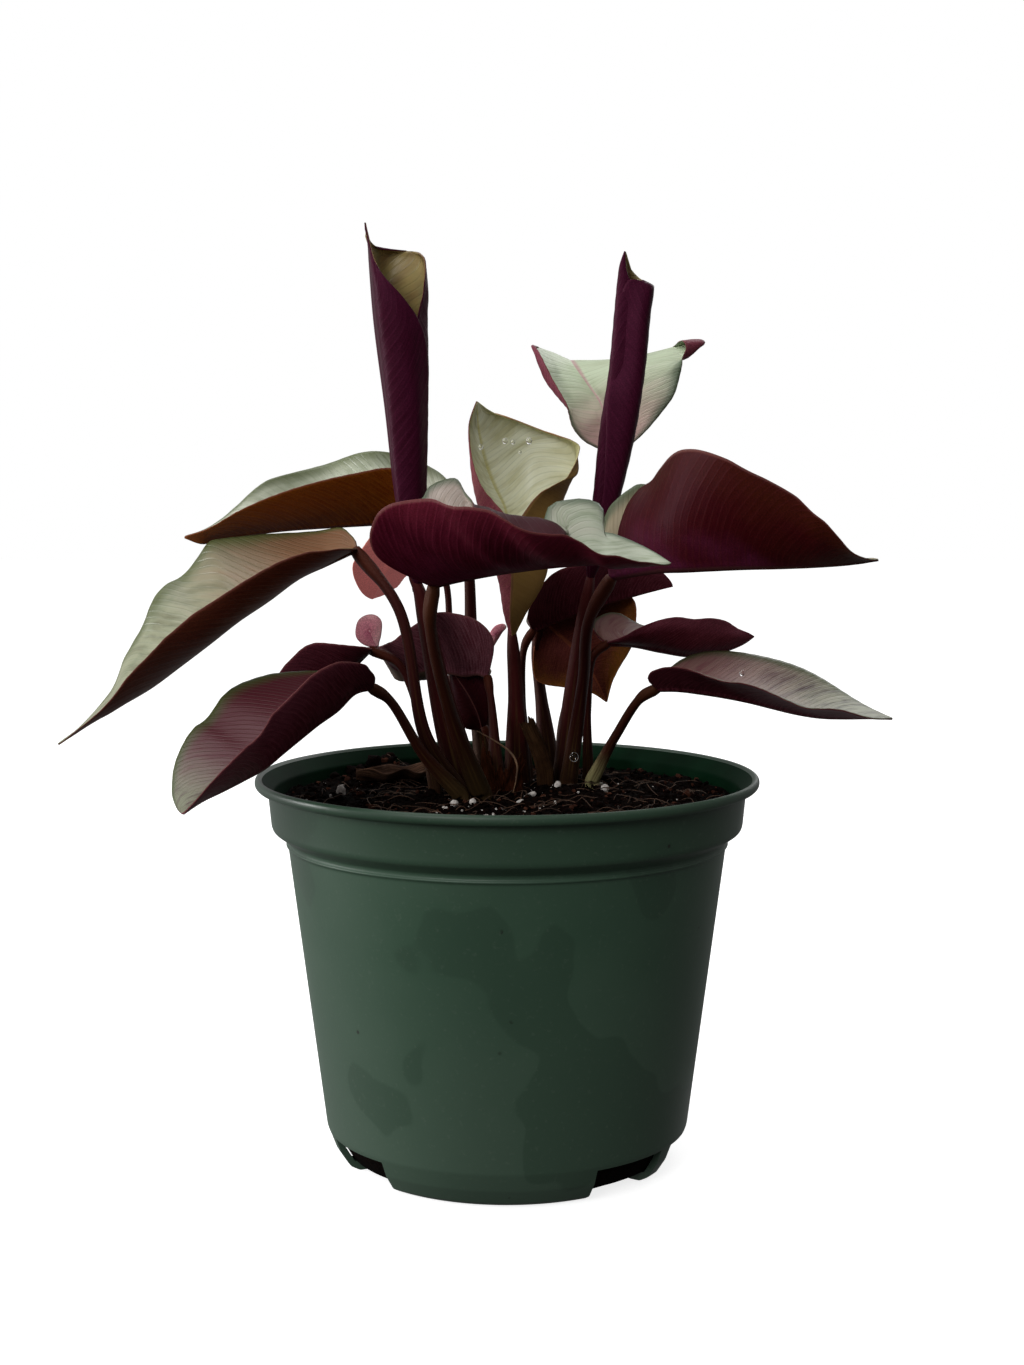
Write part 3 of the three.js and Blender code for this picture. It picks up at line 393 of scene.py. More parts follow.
LEAVES["low_right"]["near"]["edge"] = [
    [0.02, 648, 680], [0.05, 650, 673], [0.1, 662, 668], [0.15, 675, 667], [0.2, 687, 669],
    [0.25, 699, 673], [0.3, 712, 678], [0.35, 726, 682], [0.4, 740, 683], [0.45, 753, 686],
    [0.5, 766, 691], [0.55, 779, 697], [0.6, 792, 703], [0.65, 805, 708], [0.7, 818, 709],
    [0.75, 831, 709], [0.8, 845, 711],
]
LEAVES["centre_left"]["spine"] = [
    [0.1, 477, 673], [0.2, 465, 675], [0.3, 453, 673], [0.4, 441, 670], [0.5, 429, 669],
    [0.6, 417, 671], [0.7, 403, 671], [0.8, 393, 667], [0.9, 383, 656], [1, 370, 647],
]
LEAVES["centre_left"]["near"]["edge"] = [
    [0.3, 458, 614], [0.4, 436, 613], [0.45, 425, 618], [0.5, 413, 626], [0.55, 405, 631],
    [0.6, 398, 637], [0.65, 393, 641], [0.7, 388, 643], [0.8, 381, 646], [0.9, 375, 646], [1, 370, 647],
]
LEAVES["centre_left"]["far"]["edge"] = [
    [0.3, 450, 668], [0.4, 434, 677], [0.5, 420, 680], [0.6, 407, 681], [0.7, 396, 679],
    [0.8, 389, 668], [0.9, 382, 657], [1, 370, 647],
]
LEAVES["red_back"]["spine"] = [
    [0.2, 408, 553], [0.4, 392, 563], [0.6, 382, 576], [0.8, 376, 590], [1, 372, 599],
]
LEAVES["red_back"]["near"]["edge"] = [
    [0.1, 400, 535], [0.2, 385, 532], [0.3, 374, 534], [0.4, 366, 543], [0.5, 358, 555],
    [0.6, 353, 564], [0.7, 353, 574], [0.8, 357, 585], [0.9, 363, 594], [1, 372, 599],
]
LEAVES["red_back"]["far"]["edge"] = [
    [0.2, 430, 548], [0.5, 412, 572], [0.7, 398, 586], [0.8, 390, 591], [0.9, 381, 596], [1, 372, 599],
]

OPENING["tall_left"]["rib"] = [
    [0, [416, 593, -5]], [0.15, [408, 548, -7]], [0.3, [398, 500, -8]], [0.5, [387, 410, -8]],
    [0.7, [375, 320, -8]], [0.85, [370, 262, -8]], [0.93, [368.5, 243, -8]], [1, [365, 222, -8]],
]
OPENING["tall_left"]["near"]["rows"] = [
    [0.08, [418, 570, -4], [428, 570, -7], [422, 570, -9]],
    [0.3, [406, 500, -3.4], [425, 500, -6], [418, 500, -11]],
    [0.5, [401, 410, -1.5], [427, 410, -6], [417, 410, -12]],
    [0.62, [397, 355, -0.5], [427, 355, -5], [418, 355, -13]],
    [0.7, [392, 320, 0], [426, 320, -5], [417, 322, -13]],
    [0.8, [389, 280, 0.5], [424.5, 281, -5], [424, 287, -10]],
    [0.87, [388, 255, 0.5], [416, 255, -1], [424, 257, -6]],
    [0.93, [380, 249, -3], [392, 250, -1], [405, 251, 0]],
    [0.96, [368, 242, -7.5], [371, 245, -7], [376, 248, -6]],
]
OPENING["tall_left"]["far"]["rows"] = [
    [0.08, [411, 570, -9], [419, 570, -10.5], [428, 571, -8]],
    [0.3, [399, 500, -12.5], [416, 502, -13], [426.5, 502, -9]],
    [0.5, [391, 410, -14], [414, 412, -15], [428, 412, -9]],
    [0.62, [385, 355, -15], [408, 357, -16.5], [427.5, 350, -11]],
    [0.7, [380, 320, -15.5], [402, 322, -17], [420, 322, -14]],
    [0.77, [376.5, 296, -15], [390, 297, -17], [403, 297, -16.5]],
    [0.83, [373, 272, -14], [379, 274, -15.5], [384, 276, -16]],
    [0.88, [371, 257, -12], [373, 258, -13], [374.5, 261, -14]],
    [0.93, [369.5, 246, -10], [370, 247, -10.5], [370.5, 248, -11]],
]
OPENING["tall_right"]["rib"] = [
    [0, [589, 587, 24]], [0.2, [598, 530, 26.5]], [0.35, [607, 490, 27]], [0.5, [617, 430, 27.5]],
    [0.65, [628, 370, 27.5]], [0.8, [632, 310, 27.5]], [0.9, [630, 282, 26]], [1, [625, 251, 20]],
]
OPENING["tall_right"]["near"]["rows"] = [
    [0.1, [598, 560, 24], [601, 560, 19], [590, 562, 17.5]],
    [0.2, [608, 530, 23], [609, 530, 18], [595, 531, 17]],
    [0.35, [620, 492, 23], [618, 492, 17.5], [603, 493, 16.6]],
    [0.5, [634, 432, 22.5], [630, 432, 17], [606, 434, 16.8]],
    [0.58, [639, 402, 22], [635, 402, 16.8], [607, 397, 17.5]],
    [0.65, [643.5, 372, 22], [639, 372, 16.8], [611, 372, 19]],
    [0.8, [649.5, 312, 22], [644, 312, 16.6], [617, 312, 19.5]],
    [0.87, [651.5, 290, 23], [650, 286, 18], [629, 280, 17.5]],
    [0.91, [650, 285, 24], [650, 284, 21], [642, 281, 18]],
    [0.95, [639, 279, 27], [644, 281, 25], [648, 283, 23]],
    [0.98, [630, 270, 24], [632, 275, 25], [634, 278, 26]],
]
OPENING["tall_right"]["far"]["rows"] = [
    [0.1, [587, 560, 22], [588, 560, 19], [597, 560, 18]],
    [0.2, [590, 530, 22], [592, 530, 19], [604, 531, 18.5]],
    [0.35, [595, 492, 22], [597, 492, 18.5], [612, 493, 18.2]],
    [0.5, [601, 432, 22], [604, 432, 18.5], [622, 434, 18]],
    [0.65, [610.5, 372, 22], [613, 372, 18.5], [631, 372, 18]],
    [0.8, [616, 312, 22], [618.5, 312, 18.5], [634, 312, 18]],
    [0.88, [618, 285, 21], [622, 285, 18.5], [636, 292, 18.3]],
    [0.94, [620.5, 266, 20], [622, 266, 18.5], [627, 272, 18.3]],
]

LEAVES["front_curl"]["near"]["edge"] = [
    [0.05, 387, 565], [0.1, 372, 549], [0.15, 370, 532], [0.2, 378, 513], [0.25, 391, 504],
    [0.3, 411, 500], [0.35, 432, 499], [0.4, 450, 506], [0.45, 469, 507], [0.5, 490, 511],
    [0.55, 507, 521], [0.6, 524, 530], [0.65, 546, 534], [0.7, 565, 535], [0.75, 582, 543],
    [0.8, 599, 554], [0.85, 618, 556], [0.9, 635, 561], [0.95, 651, 563], [1, 671, 564],
]
LEAVES["low_back"]["rib"] = [
    [0, [484, 727, 24]], [0.3, [478, 712, 23]], [0.6, [468, 693, 23]], [0.85, [457, 677, 24]],
    [1, [451, 668, 25]],
]
LEAVES["low_back"]["near"]["rows"] = [
    [0.1, [485, 722, 23], [487, 720, 23], [488, 718, 24]],
    [0.3, [482, 706, 22], [487, 702, 22], [489, 700, 24]],
    [0.6, [475, 688, 22], [482, 682, 22], [485, 679, 24]],
    [0.85, [462, 674, 23], [468, 671, 23], [471, 670, 24]],
    [0.95, [455, 670, 24], [458, 669, 24], [460, 668.5, 25]],
]
LEAVES["low_back"]["far"]["rows"] = [
    [0.1, [482, 726, 25], [480, 728, 26], [478, 729, 27]],
    [0.3, [472, 716, 24], [467, 723, 26], [465, 728, 27]],
    [0.6, [461, 698, 24], [456, 703, 26], [454, 706, 27]],
    [0.85, [454, 680, 24.5], [452, 682, 26], [450.5, 684, 27]],
    [0.95, [451.5, 672, 25], [451, 673, 25.5], [450.5, 675, 26]],
]


def mix(a, b, t):
    return a + (b - a) * t


def smoothstep(low, high, value):
    t = np.clip((value - low) / (high - low), 0, 1)
    return t * t * (3 - 2 * t)


def outline(u):
    peak = BASE_ROUNDNESS / (BASE_ROUNDNESS + TIP_ROUNDNESS)
    most = peak ** BASE_ROUNDNESS * (1 - peak) ** TIP_ROUNDNESS
    return u ** BASE_ROUNDNESS * (1 - u) ** TIP_ROUNDNESS / most


def direction(heading, pitch):
    h, p = np.radians(heading), np.radians(pitch)
    return np.stack([np.cos(p) * np.cos(h), np.cos(p) * np.sin(h), np.sin(p)], -1)


def midrib_point(part, s):
    """Points of the midrib at s, an array of shares of the leaf's length."""
    centre = (np.arange(MIDRIB_STEPS) + 0.5) / MIDRIB_STEPS
    steps = direction(part["heading"] + part["turn"] * centre, part["pitch"] + part["droop"] * centre)
    ends = np.vstack([np.zeros(3), np.cumsum(steps, 0)]) / MIDRIB_STEPS
    place = np.clip(s, 0, 1) * MIDRIB_STEPS
    index = np.minimum(place.astype(int), MIDRIB_STEPS - 1)
    along = ends[index] + steps[index] * ((place - index) / MIDRIB_STEPS)[..., None]
    back = np.minimum(s, 0)[..., None] * direction(part["heading"], part["pitch"])
    beyond = np.maximum(s - 1, 0)[..., None] * steps[-1]
    return np.array(part["base"], float) + part["length"] * (along + back + beyond)


def photo_point(px, py, y):
    """The point at depth y, in millimetres, that the photo shows at a pixel."""
    pitch = math.radians(CAMERA_PITCH)
    right = (px - PHOTO_WIDTH / 2) / FOCAL_PIXELS
    up = (PHOTO_HEIGHT / 2 - py) / FOCAL_PIXELS
    reach = (y + CAMERA_DISTANCE) / (math.cos(pitch) + up * math.sin(pitch))
    rise = reach * (up * math.cos(pitch) - math.sin(pitch))
    return np.array([CAMERA_SIDE + reach * right, y, CAMERA_HEIGHT + rise])


def smooth_line(stations, points, t):
    """Points at t of a smooth curve that passes through the points at their stations."""
    stations, points = np.array(stations, float), np.array(points, float)
    slope = np.gradient(points, stations, axis=0)
    index = np.clip(np.searchsorted(stations, t) - 1, 0, len(stations) - 2)
    span = (stations[index + 1] - stations[index])[..., None]
    w = (t[..., None] - stations[index][..., None]) / span
    rise = points[index + 1] - points[index]
    before, after = slope[index] * span, slope[index + 1] * span
    return (points[index] + before * w + (3 * rise - 2 * before - after) * w ** 2
            + (before + after - 2 * rise) * w ** 3)


def rib_point(part, u):
    """Points of the midrib at u, along its given rows where it has them."""
    if "spine" in part:
        return midrib_point(part, u) + moved_to(part["spine"], lambda t: midrib_point(part, t), u)
    if "rib" in part:
        points = [photo_point(*row[1]) for row in part["rib"]]
        return smooth_line([row[0] for row in part["rib"]], points, u)
    return midrib_point(part, u)


def shaped_half(part, rows, u, v):
    """Half a blade through given lines: rows of [u, inner, outer and margin photo points]."""
    stations = np.array([0, *(row[0] for row in rows), 1])
    base, tip = rib_point(part, np.array([0.0, 1.0]))
    lines = [rib_point(part, u)]
    for line in (1, 2, 3):
        points = [base, *(photo_point(*row[line]) for row in rows), tip]
        lines.append(smooth_line(stations, points, u))
    lines = [2 * lines[0] - lines[1], *lines, 2 * lines[3] - lines[2]]
    total = np.zeros(u.shape + (3,))
    for i in range(3):
        w = np.clip(3 * v - i, 0, 1)[..., None]
        p0, p1, p2, p3 = lines[i:i + 4]
        t1, t2 = (p2 - p0) / 2, (p3 - p1) / 2
        point = p1 + t1 * w + (3 * (p2 - p1) - 2 * t1 - t2) * w ** 2 + (2 * (p1 - p2) + t1 + t2) * w ** 3
        chosen = (3 * v > i) | (i == 0)
        total[chosen] = point[chosen]
    return total


def plain_half(part, one, side, u, v):
    """Half a blade as the CAD has it, at u along it and v from rib to margin."""
    s = u - part["lobe"] * LOBE_PEAK * u * (1 - u) ** 5 * v
    width = outline(u) * one["width"]
    start = np.radians(mix(one["fold"][0], one["fold"][1], np.clip(s, 0, 1)))
    curl = math.radians(FLATTEST_CURL if abs(one["curl"]) < FLATTEST_CURL else one["curl"])
    end = start + curl * width * v / one["width"]
    scale = one["width"] / curl
    height, count, phase = one["wave"]
    calm = np.minimum(1, 1.5 * width / one["width"])
    swell = height * v * v * np.sin(2 * math.pi * (count * s + phase)) * calm
    sideways = scale * (np.sin(end) - np.sin(start)) - swell * np.sin(end)
    upwards = scale * (np.cos(start) - np.cos(end)) + swell * np.cos(end)
    h = np.radians(part["heading"] + part["turn"] * np.clip(s, 0, 1))
    p = np.radians(part["pitch"] + part["droop"] * np.clip(s, 0, 1))
    lateral = np.stack([-np.sin(h), np.cos(h), np.zeros_like(h)], -1)
    up = np.stack([-np.sin(p) * np.cos(h), -np.sin(p) * np.sin(h), np.cos(p)], -1)
    return midrib_point(part, s) + lateral * (side * sideways)[..., None] + up * upwards[..., None]


def moved_to(rows, place, u):
    """How far a line on the blade moves at u so that it meets the photo pixels in the rows."""
    stations = np.array([row[0] for row in rows], float)
    found = place(stations)
    moves = [photo_point(px, py, point[1]) - point for (_, px, py), point in zip(rows, found)]
    if stations[0] > 0:
        stations, moves = np.array([0, *stations]), [np.zeros(3), *moves]
    if stations[-1] < 1:
        stations, moves = np.array([*stations, 1]), [*moves, np.zeros(3)]
    return smooth_line(stations, moves, u)


def blade_points(part, u, across):
    """Middle of a spread blade at u along the leaf, and from -1 to 1 across it."""
    faces_right = math.cos(math.radians(part["heading"] + part["turn"] / 2)) > 0
    near_side = -1 if faces_right else 1
    v = np.abs(across)
    total = np.zeros(u.shape + (3,))
    for name, side in (("near", near_side), ("far", -near_side)):
        one = part[name]
        if "rows" in one:
            points = shaped_half(part, one["rows"], u, v)
        else:
            points = plain_half(part, one, side, u, v)
        share = (v ** MARGIN_PULL)[..., None]
        if "edge" in one:
            points = points + share * moved_to(
                one["edge"], lambda t: plain_half(part, one, side, t, np.ones(t.shape)), u)
        if "spine" in part:
            points = points + (1 - share) * moved_to(
                part["spine"], lambda t: midrib_point(part, t), u)
        on_side = (across * side > 0) | ((across == 0) & (name == "near"))
        total[on_side] = points[on_side]
    return total


def catmull_rom(points, t):
    """Point at t of a centripetal Catmull-Rom curve through the points."""
    points = [np.array(p, float) for p in points]
    last = len(points) - 1
    place = last * t
    i = min(int(place), last - 1)
    w = place - i
    p1, p2 = points[i], points[i + 1]
    p0 = points[i - 1] if i > 0 else 2 * points[0] - points[1]
    p3 = points[i + 2] if i + 2 <= last else 2 * points[-1] - points[-2]
    d0, d1, d2 = (math.sqrt(np.linalg.norm(b - a)) for a, b in ((p0, p1), (p1, p2), (p2, p3)))
    t1 = ((p1 - p0) / d0 - (p2 - p0) / (d0 + d1) + (p2 - p1) / d1) * d1
    t2 = ((p2 - p1) / d1 - (p3 - p1) / (d1 + d2) + (p3 - p2) / d2) * d1
    return p1 + t1 * w + (3 * p2 - 3 * p1 - 2 * t1 - t2) * w ** 2 + (2 * p1 - 2 * p2 + t1 + t2) * w ** 3


CURVE_STEPS = 400


def spaced(points, count):
    """count + 1 points at even distances along the Catmull-Rom curve."""
    fine = np.array([catmull_rom(points, i / CURVE_STEPS) for i in range(CURVE_STEPS + 1)])
    length = np.concatenate([[0], np.cumsum(np.linalg.norm(np.diff(fine, axis=0), axis=1))])
    wanted = np.linspace(0, length[-1], count + 1)
    return np.stack([np.interp(wanted, length, fine[:, k]) for k in range(3)], -1)


def soil_height(x, y):
    swell = np.sin(x * 0.21 + 1) * np.cos(y * 0.17) + 0.6 * np.sin(x * 0.43 + y * 0.37)
    away = ((x - SOIL_CLUMP["x"]) ** 2 + (y - SOIL_CLUMP["y"]) ** 2) / SOIL_CLUMP["radius"] ** 2
    return SOIL_TOP + SOIL_BUMP * swell + SOIL_CLUMP["height"] * np.exp(-2 * away)


def make_piece(name, points, faces, materials, uv=None, face_material=None, smooth=True):
    """A mesh object in the scene, from points in millimetres."""
    mesh = bpy.data.meshes.new(name)
    mesh.from_pydata((np.asarray(points) * MM).tolist(), [], faces)
    for material in materials:
        mesh.materials.append(material)
    if face_material is not None:
        mesh.polygons.foreach_set("material_index", np.asarray(face_material, np.int32))
    if uv is not None:
        layer = mesh.uv_layers.new(name="leaf")
        corner = np.empty(len(mesh.loops), np.int32)
        mesh.loops.foreach_get("vertex_index", corner)
        layer.data.foreach_set("uv", np.asarray(uv, np.float32)[corner].ravel())
    mesh.polygons.foreach_set("use_smooth", [smooth] * len(mesh.polygons))
    mesh.update()
    piece = bpy.data.objects.new(name, mesh)
    bpy.context.scene.collection.objects.link(piece)
    return piece


def settle(piece, slot, *nodes):
    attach(piece, "root")
    if nodes:
        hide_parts(*nodes)
    return piece


def sheet(name, middle, above, below, uv, materials):
    """A closed thin sheet: its upper face has material 0, its lower face 1 and its rim 1."""
    rows, columns = middle.shape[:2]
    along = np.gradient(middle, axis=0)
    sideways = np.gradient(middle, axis=1)
    normal = np.cross(along, sideways)
    length = np.linalg.norm(normal, axis=-1, keepdims=True)
    normal = normal / np.maximum(length, 1e-9)
    normal[0], normal[-1] = normal[1], normal[-2]
    top = middle + normal * above[..., None]
    bottom = middle - normal * below[..., None]
    points = np.concatenate([top.reshape(-1, 3), bottom.reshape(-1, 3)])
    count = rows * columns
    index = np.arange(count).reshape(rows, columns)
    a, b = index[:-1, :-1].ravel(), index[1:, :-1].ravel()
    c, d = index[1:, 1:].ravel(), index[:-1, 1:].ravel()
    upper = np.stack([a, b, c, d], -1)
    lower = np.stack([a, d, c, b], -1) + count
    loop = np.concatenate([index[0, :], index[1:, -1], index[-1, -2::-1], index[-2:0:-1, 0]])
    following = np.roll(loop, -1)
    rim = np.stack([loop, following, following + count, loop + count], -1)
    faces = np.concatenate([upper, lower, rim]).tolist()
    which = [0] * len(upper) + [1] * (len(lower) + len(rim))
    return make_piece(name, points, faces, materials, np.concatenate([uv, uv]), which)


def tube(centres, radii, sides):
    """Points and faces of a closed tube. radii may differ round each ring."""
    centres = np.asarray(centres, float)
    tangent = np.gradient(centres, axis=0)
    tangent /= np.linalg.norm(tangent, axis=1, keepdims=True)
    first = np.array([0, 1, 0]) - tangent * tangent[:, 1:2]
    first /= np.linalg.norm(first, axis=1, keepdims=True)
    second = np.cross(tangent, first)
    angle = 2 * math.pi * np.arange(sides) / sides
    radii = np.asarray(radii, float)
    if radii.ndim == 1:
        radii = np.repeat(radii[:, None], sides, 1)
    ring = radii[..., None] * (first[:, None] * np.cos(angle)[None, :, None]
                               + second[:, None] * np.sin(angle)[None, :, None])
    points = (centres[:, None] + ring).reshape(-1, 3)
    faces = []
    for i in range(len(centres) - 1):
        for k in range(sides):
            n = (k + 1) % sides
            faces.append([i * sides + k, i * sides + n, (i + 1) * sides + n, (i + 1) * sides + k])
    faces.append(list(range(sides - 1, -1, -1)))
    faces.append([(len(centres) - 1) * sides + k for k in range(sides)])
    return points, faces


class Graph:
    """A material's node graph, with short names for the nodes that the materials here use."""

    def __init__(self, name):
        self.material = bpy.data.materials.new(name)
        self.material.use_nodes = True
        self.tree = self.material.node_tree
        self.tree.nodes.clear()
        output = self.tree.nodes.new("ShaderNodeOutputMaterial")
        self.shader = self.tree.nodes.new("ShaderNodeBsdfPrincipled")
        self.tree.links.new(self.shader.outputs[0], output.inputs[0])

    def put(self, socket, value):
        if isinstance(value, bpy.types.NodeSocket):
            self.tree.links.new(value, socket)
        elif isinstance(value, tuple) and len(value) == 3 and len(socket.default_value) == 4:
            socket.default_value = (*value, 1)
        else:
            socket.default_value = value

    def node(self, kind, settings=None, **inputs):
        made = self.tree.nodes.new(kind)
        for key, value in (settings or {}).items():
            setattr(made, key, value)
        for key, value in inputs.items():
            self.put(made.inputs[key.replace("_", " ")], value)
        return made

    def math(self, operation, a, b=0.0):
        made = self.node("ShaderNodeMath", {"operation": operation})
        self.put(made.inputs[0], a)
        self.put(made.inputs[1], b)
        return made.outputs[0]

    def times(self, a, b):
        return self.math("MULTIPLY", a, b)

    def plus(self, a, b):
        return self.math("ADD", a, b)

    def around(self, value, reach):
        """A noise value moved to lie round 0, and scaled to that reach."""
        return self.times(self.math("SUBTRACT", value, 0.5), reach)

    def mix(self, factor, a, b, blend="MIX"):
        made = self.node("ShaderNodeMix", {"data_type": "RGBA", "blend_type": blend})
        self.put(made.inputs[0], factor)
        self.put(made.inputs[6], a)
        self.put(made.inputs[7], b)
        return made.outputs[2]

    def spread(self, value, low, high, to_low=0.0, to_high=1.0):
        made = self.node("ShaderNodeMapRange", {"interpolation_type": "SMOOTHSTEP"})
        for index, given in enumerate((value, low, high, to_low, to_high)):
            self.put(made.inputs[index], given)
        return made.outputs[0]

    def noise(self, vector, scale, detail=3.0, roughness=0.55):
        made = self.node("ShaderNodeTexNoise", None, Scale=scale, Detail=detail, Roughness=roughness)
        self.put(made.inputs["Vector"], vector)
        return made.outputs[0]

    def stretched(self, a, by_a, b, by_b, scale, detail):
        """Noise over two coordinates, each stretched by its own factor."""
        return self.noise(self.vector(self.times(a, by_a), self.times(b, by_b)), scale, detail)

    def voronoi(self, vector, scale):
        made = self.node("ShaderNodeTexVoronoi", Scale=scale)
        self.put(made.inputs["Vector"], vector)
        return made.outputs[0]

    def vector(self, x, y, z=0.0):
        made = self.node("ShaderNodeCombineXYZ")
        for index, given in enumerate((x, y, z)):
            self.put(made.inputs[index], given)
        return made.outputs[0]

    def leaf_place(self):
        """u along the leaf, how far across it from 0 to 1, and the side from -1 to 1."""
        place = self.node("ShaderNodeUVMap", {"uv_map": "leaf"}).outputs[0]
        parts = self.node("ShaderNodeSeparateXYZ")
        self.put(parts.inputs[0], place)
        side = self.math("MULTIPLY_ADD", parts.outputs[1], 2.0)
        side.node.inputs[2].default_value = -1.0
        return parts.outputs[0], self.math("ABSOLUTE", side), side

    def object_place(self):
        return self.node("ShaderNodeTexCoord").outputs["Object"]

    def bump(self, height, strength, distance):
        made = self.node("ShaderNodeBump", None, Strength=strength, Distance=distance)
        self.put(made.inputs["Height"], height)
        return made.outputs[0]

    def done(self, colour, roughness, normal=None, specular=0.5, **settings):
        self.put(self.shader.inputs["Base Color"], colour)
        self.put(self.shader.inputs["Roughness"], roughness)
        self.shader.inputs["Specular IOR Level"].default_value = specular
        if normal is not None:
            self.put(self.shader.inputs["Normal"], normal)
        for key, value in settings.items():
            self.shader.inputs[key.replace("_", " ")].default_value = value
        return self.material


VEINS = 44
VEIN_SWEEP = 0.2
LEAF_ROUGHNESS = 0.5


def vein_lines(g, u, v, side):
    """Where the arcing side veins run: 1 on a vein, and the coordinate across them."""
    wobble = g.stretched(u, 5.0, side, 2.0, 1.0, 1.0)
    sweep = g.times(g.math("POWER", v, 1.5), VEIN_SWEEP)
    bent = g.math("SUBTRACT", u, sweep)
    bent = g.plus(bent, g.times(wobble, 0.025))
    place = g.times(bent, VEINS)
    off = g.math("ABSOLUTE", g.math("SUBTRACT", g.math("FRACT", place), 0.5))
    return g.spread(off, 0.32, 0.5), place


def seen(red, green, blue, light=0.5):
    """Surface colour that shows as these 0 to 255 values under that much light."""
    made = []
    for value in (red, green, blue):
        value = value / 255
        value = value / 12.92 if value <= 0.04045 else ((value + 0.055) / 1.055) ** 2.4
        made.append(min(0.9, value / light))
    return tuple(made)


def underside(name, inner, middle, outer, vein, edge=(0.16, 0.06, 0.05), first=None, second=None):
    """Back of a leaf. inner is its colour at the midrib's base, outer that at margin and tip.

    first and second are the colours of the halves whose side is below and above 0, where they differ."""
    g = Graph(name)
    u, v, side = g.leaf_place()
    line, place = vein_lines(g, u, v, side)
    broad = g.stretched(u, 3.0, side, 1.6, 1.4, 3.0)
    outward = g.plus(g.times(v, 0.55), g.times(u, 0.5))
    outward = g.plus(outward, g.around(broad, 0.7))
    colour = g.mix(g.spread(outward, 0.05, 0.5), inner, middle)
    colour = g.mix(g.spread(outward, 0.45, 0.95), colour, outer)
    streak = g.stretched(place, 0.9, v, 2.0, 2.0, 3.0)
    colour = g.mix(g.spread(streak, 0.3, 0.75, 0.0, 0.35), colour, vein)
    colour = g.mix(g.times(line, 0.3), colour, vein)
    grain = g.noise(g.object_place(), 2600.0, 2.0)
    tone = g.spread(grain, 0.3, 0.75, 0.75, 1.3)
    colour = g.mix(1.0, colour, g.vector(tone, tone, tone), "MULTIPLY")
    if first is not None:
        colour = g.mix(g.spread(side, 0.03, -0.03, 0.0, 0.85), colour, first)
    # second serves for painted shade, on the far half inside a curl
    if second is not None:
        colour = g.mix(g.spread(side, -0.03, 0.03, 0.0, 0.85), colour, second)
    margin = g.spread(v, 0.972, 0.992)
    colour = g.mix(g.times(margin, 0.6), colour, edge)
    rib = g.spread(v, 0.012, 0.04, 1.0, 0.0)
    colour = g.mix(g.times(rib, 0.6), colour, edge)
    height = g.plus(g.times(line, 0.5), g.times(grain, 0.25))
    normal = g.bump(height, 0.25, 0.0003)
    return g.done(colour, LEAF_ROUGHNESS, normal, 0.11, Specular_Tint=(0.75, 0.3, 0.5, 1))


def upperside(name, silver, shade, blush=(0.33, 0.13, 0.17), amount=0.0, fade=(0.0, 0.6),
              margin=(0.035, 0.07, 0.03), roughness=0.38, green=0.4, rib_colour=(0.3, 0.13, 0.13),
              margin_start=0.84):
    """Silver face of a leaf, with darker feathers between the veins and a dark green margin.

    blush is a tint that fades out along the leaf."""
    g = Graph(name)
    u, v, side = g.leaf_place()
    line, place = vein_lines(g, u, v, side)
    feather = g.stretched(place, 0.55, side, 2.2, 1.0, 4.0)
    colour = g.mix(g.spread(feather, 0.4, 0.75), silver, shade)
    patches = g.stretched(u, 3.0, side, 2.5, 1.2, 3.0)
    colour = g.mix(g.spread(patches, 0.5, 0.75, 0.0, green), colour, (0.12, 0.16, 0.09))
    along = g.plus(u, g.around(feather, 0.35))
    tint = g.times(g.spread(along, fade[0], fade[1], 1.0, 0.0), amount)
    colour = g.mix(tint, colour, blush)
    rim = g.plus(v, g.around(patches, 0.14))
    colour = g.mix(g.spread(rim, margin_start, 0.99, 0.0, 0.85), colour, margin)
    rib = g.spread(v, 0.008, 0.03, 1.0, 0.0)
    colour = g.mix(g.times(rib, 0.7), colour, rib_colour)
    colour = g.mix(g.times(line, 0.12), colour, (0.08, 0.12, 0.07))
    grain = g.noise(g.object_place(), 2200.0, 2.0)
    height = g.plus(g.times(line, -0.6), g.times(grain, 0.2))
    normal = g.bump(height, 0.35, 0.0004)
    return g.done(colour, roughness, normal, 0.3)


def painted_backlight_glow(material, colour, strength):
    """Painted glow: an emission that stands in for light coming through a thin blade from behind."""
    for node in material.node_tree.nodes:
        if node.type == "BSDF_PRINCIPLED":
            node.inputs["Emission Color"].default_value = colour
            node.inputs["Emission Strength"].default_value = strength


def stalk_material(name, foot, stem, knee):
    """A petiole: foot colour low down, stem colour, and knee colour below the blade."""
    g = Graph(name)
    u, _, side = g.leaf_place()
    streak = g.stretched(u, 2.5, side, 7.0, 2.0, 3.0)
    shifted = g.plus(u, g.around(streak, 0.25))
    colour = g.mix(g.spread(shifted, 0.12, 0.45), foot, stem)
    colour = g.mix(g.spread(shifted, 0.78, 0.95), colour, knee)
    band = g.stretched(u, 1.2, side, 3.0, 1.5, 2.0)
    pale = g.mix(g.spread(u, 0.2, 0.9), seen(56, 42, 22), knee)
    colour = g.mix(g.spread(band, 0.5, 0.75, 0.0, 0.8), colour, pale)
    dark = g.stretched(u, 9.0, side, 14.0, 2.0, 3.0)
    colour = g.mix(g.spread(dark, 0.5, 0.75, 0.0, 0.6), colour, seen(14, 5, 5))
    ridges = g.stretched(u, 3.0, side, 40.0, 2.0, 2.0)
    normal = g.bump(ridges, 0.3, 0.0003)
    return g.done(colour, LEAF_ROUGHNESS, normal, 0.16, Specular_Tint=(0.8, 0.5, 0.4, 1))


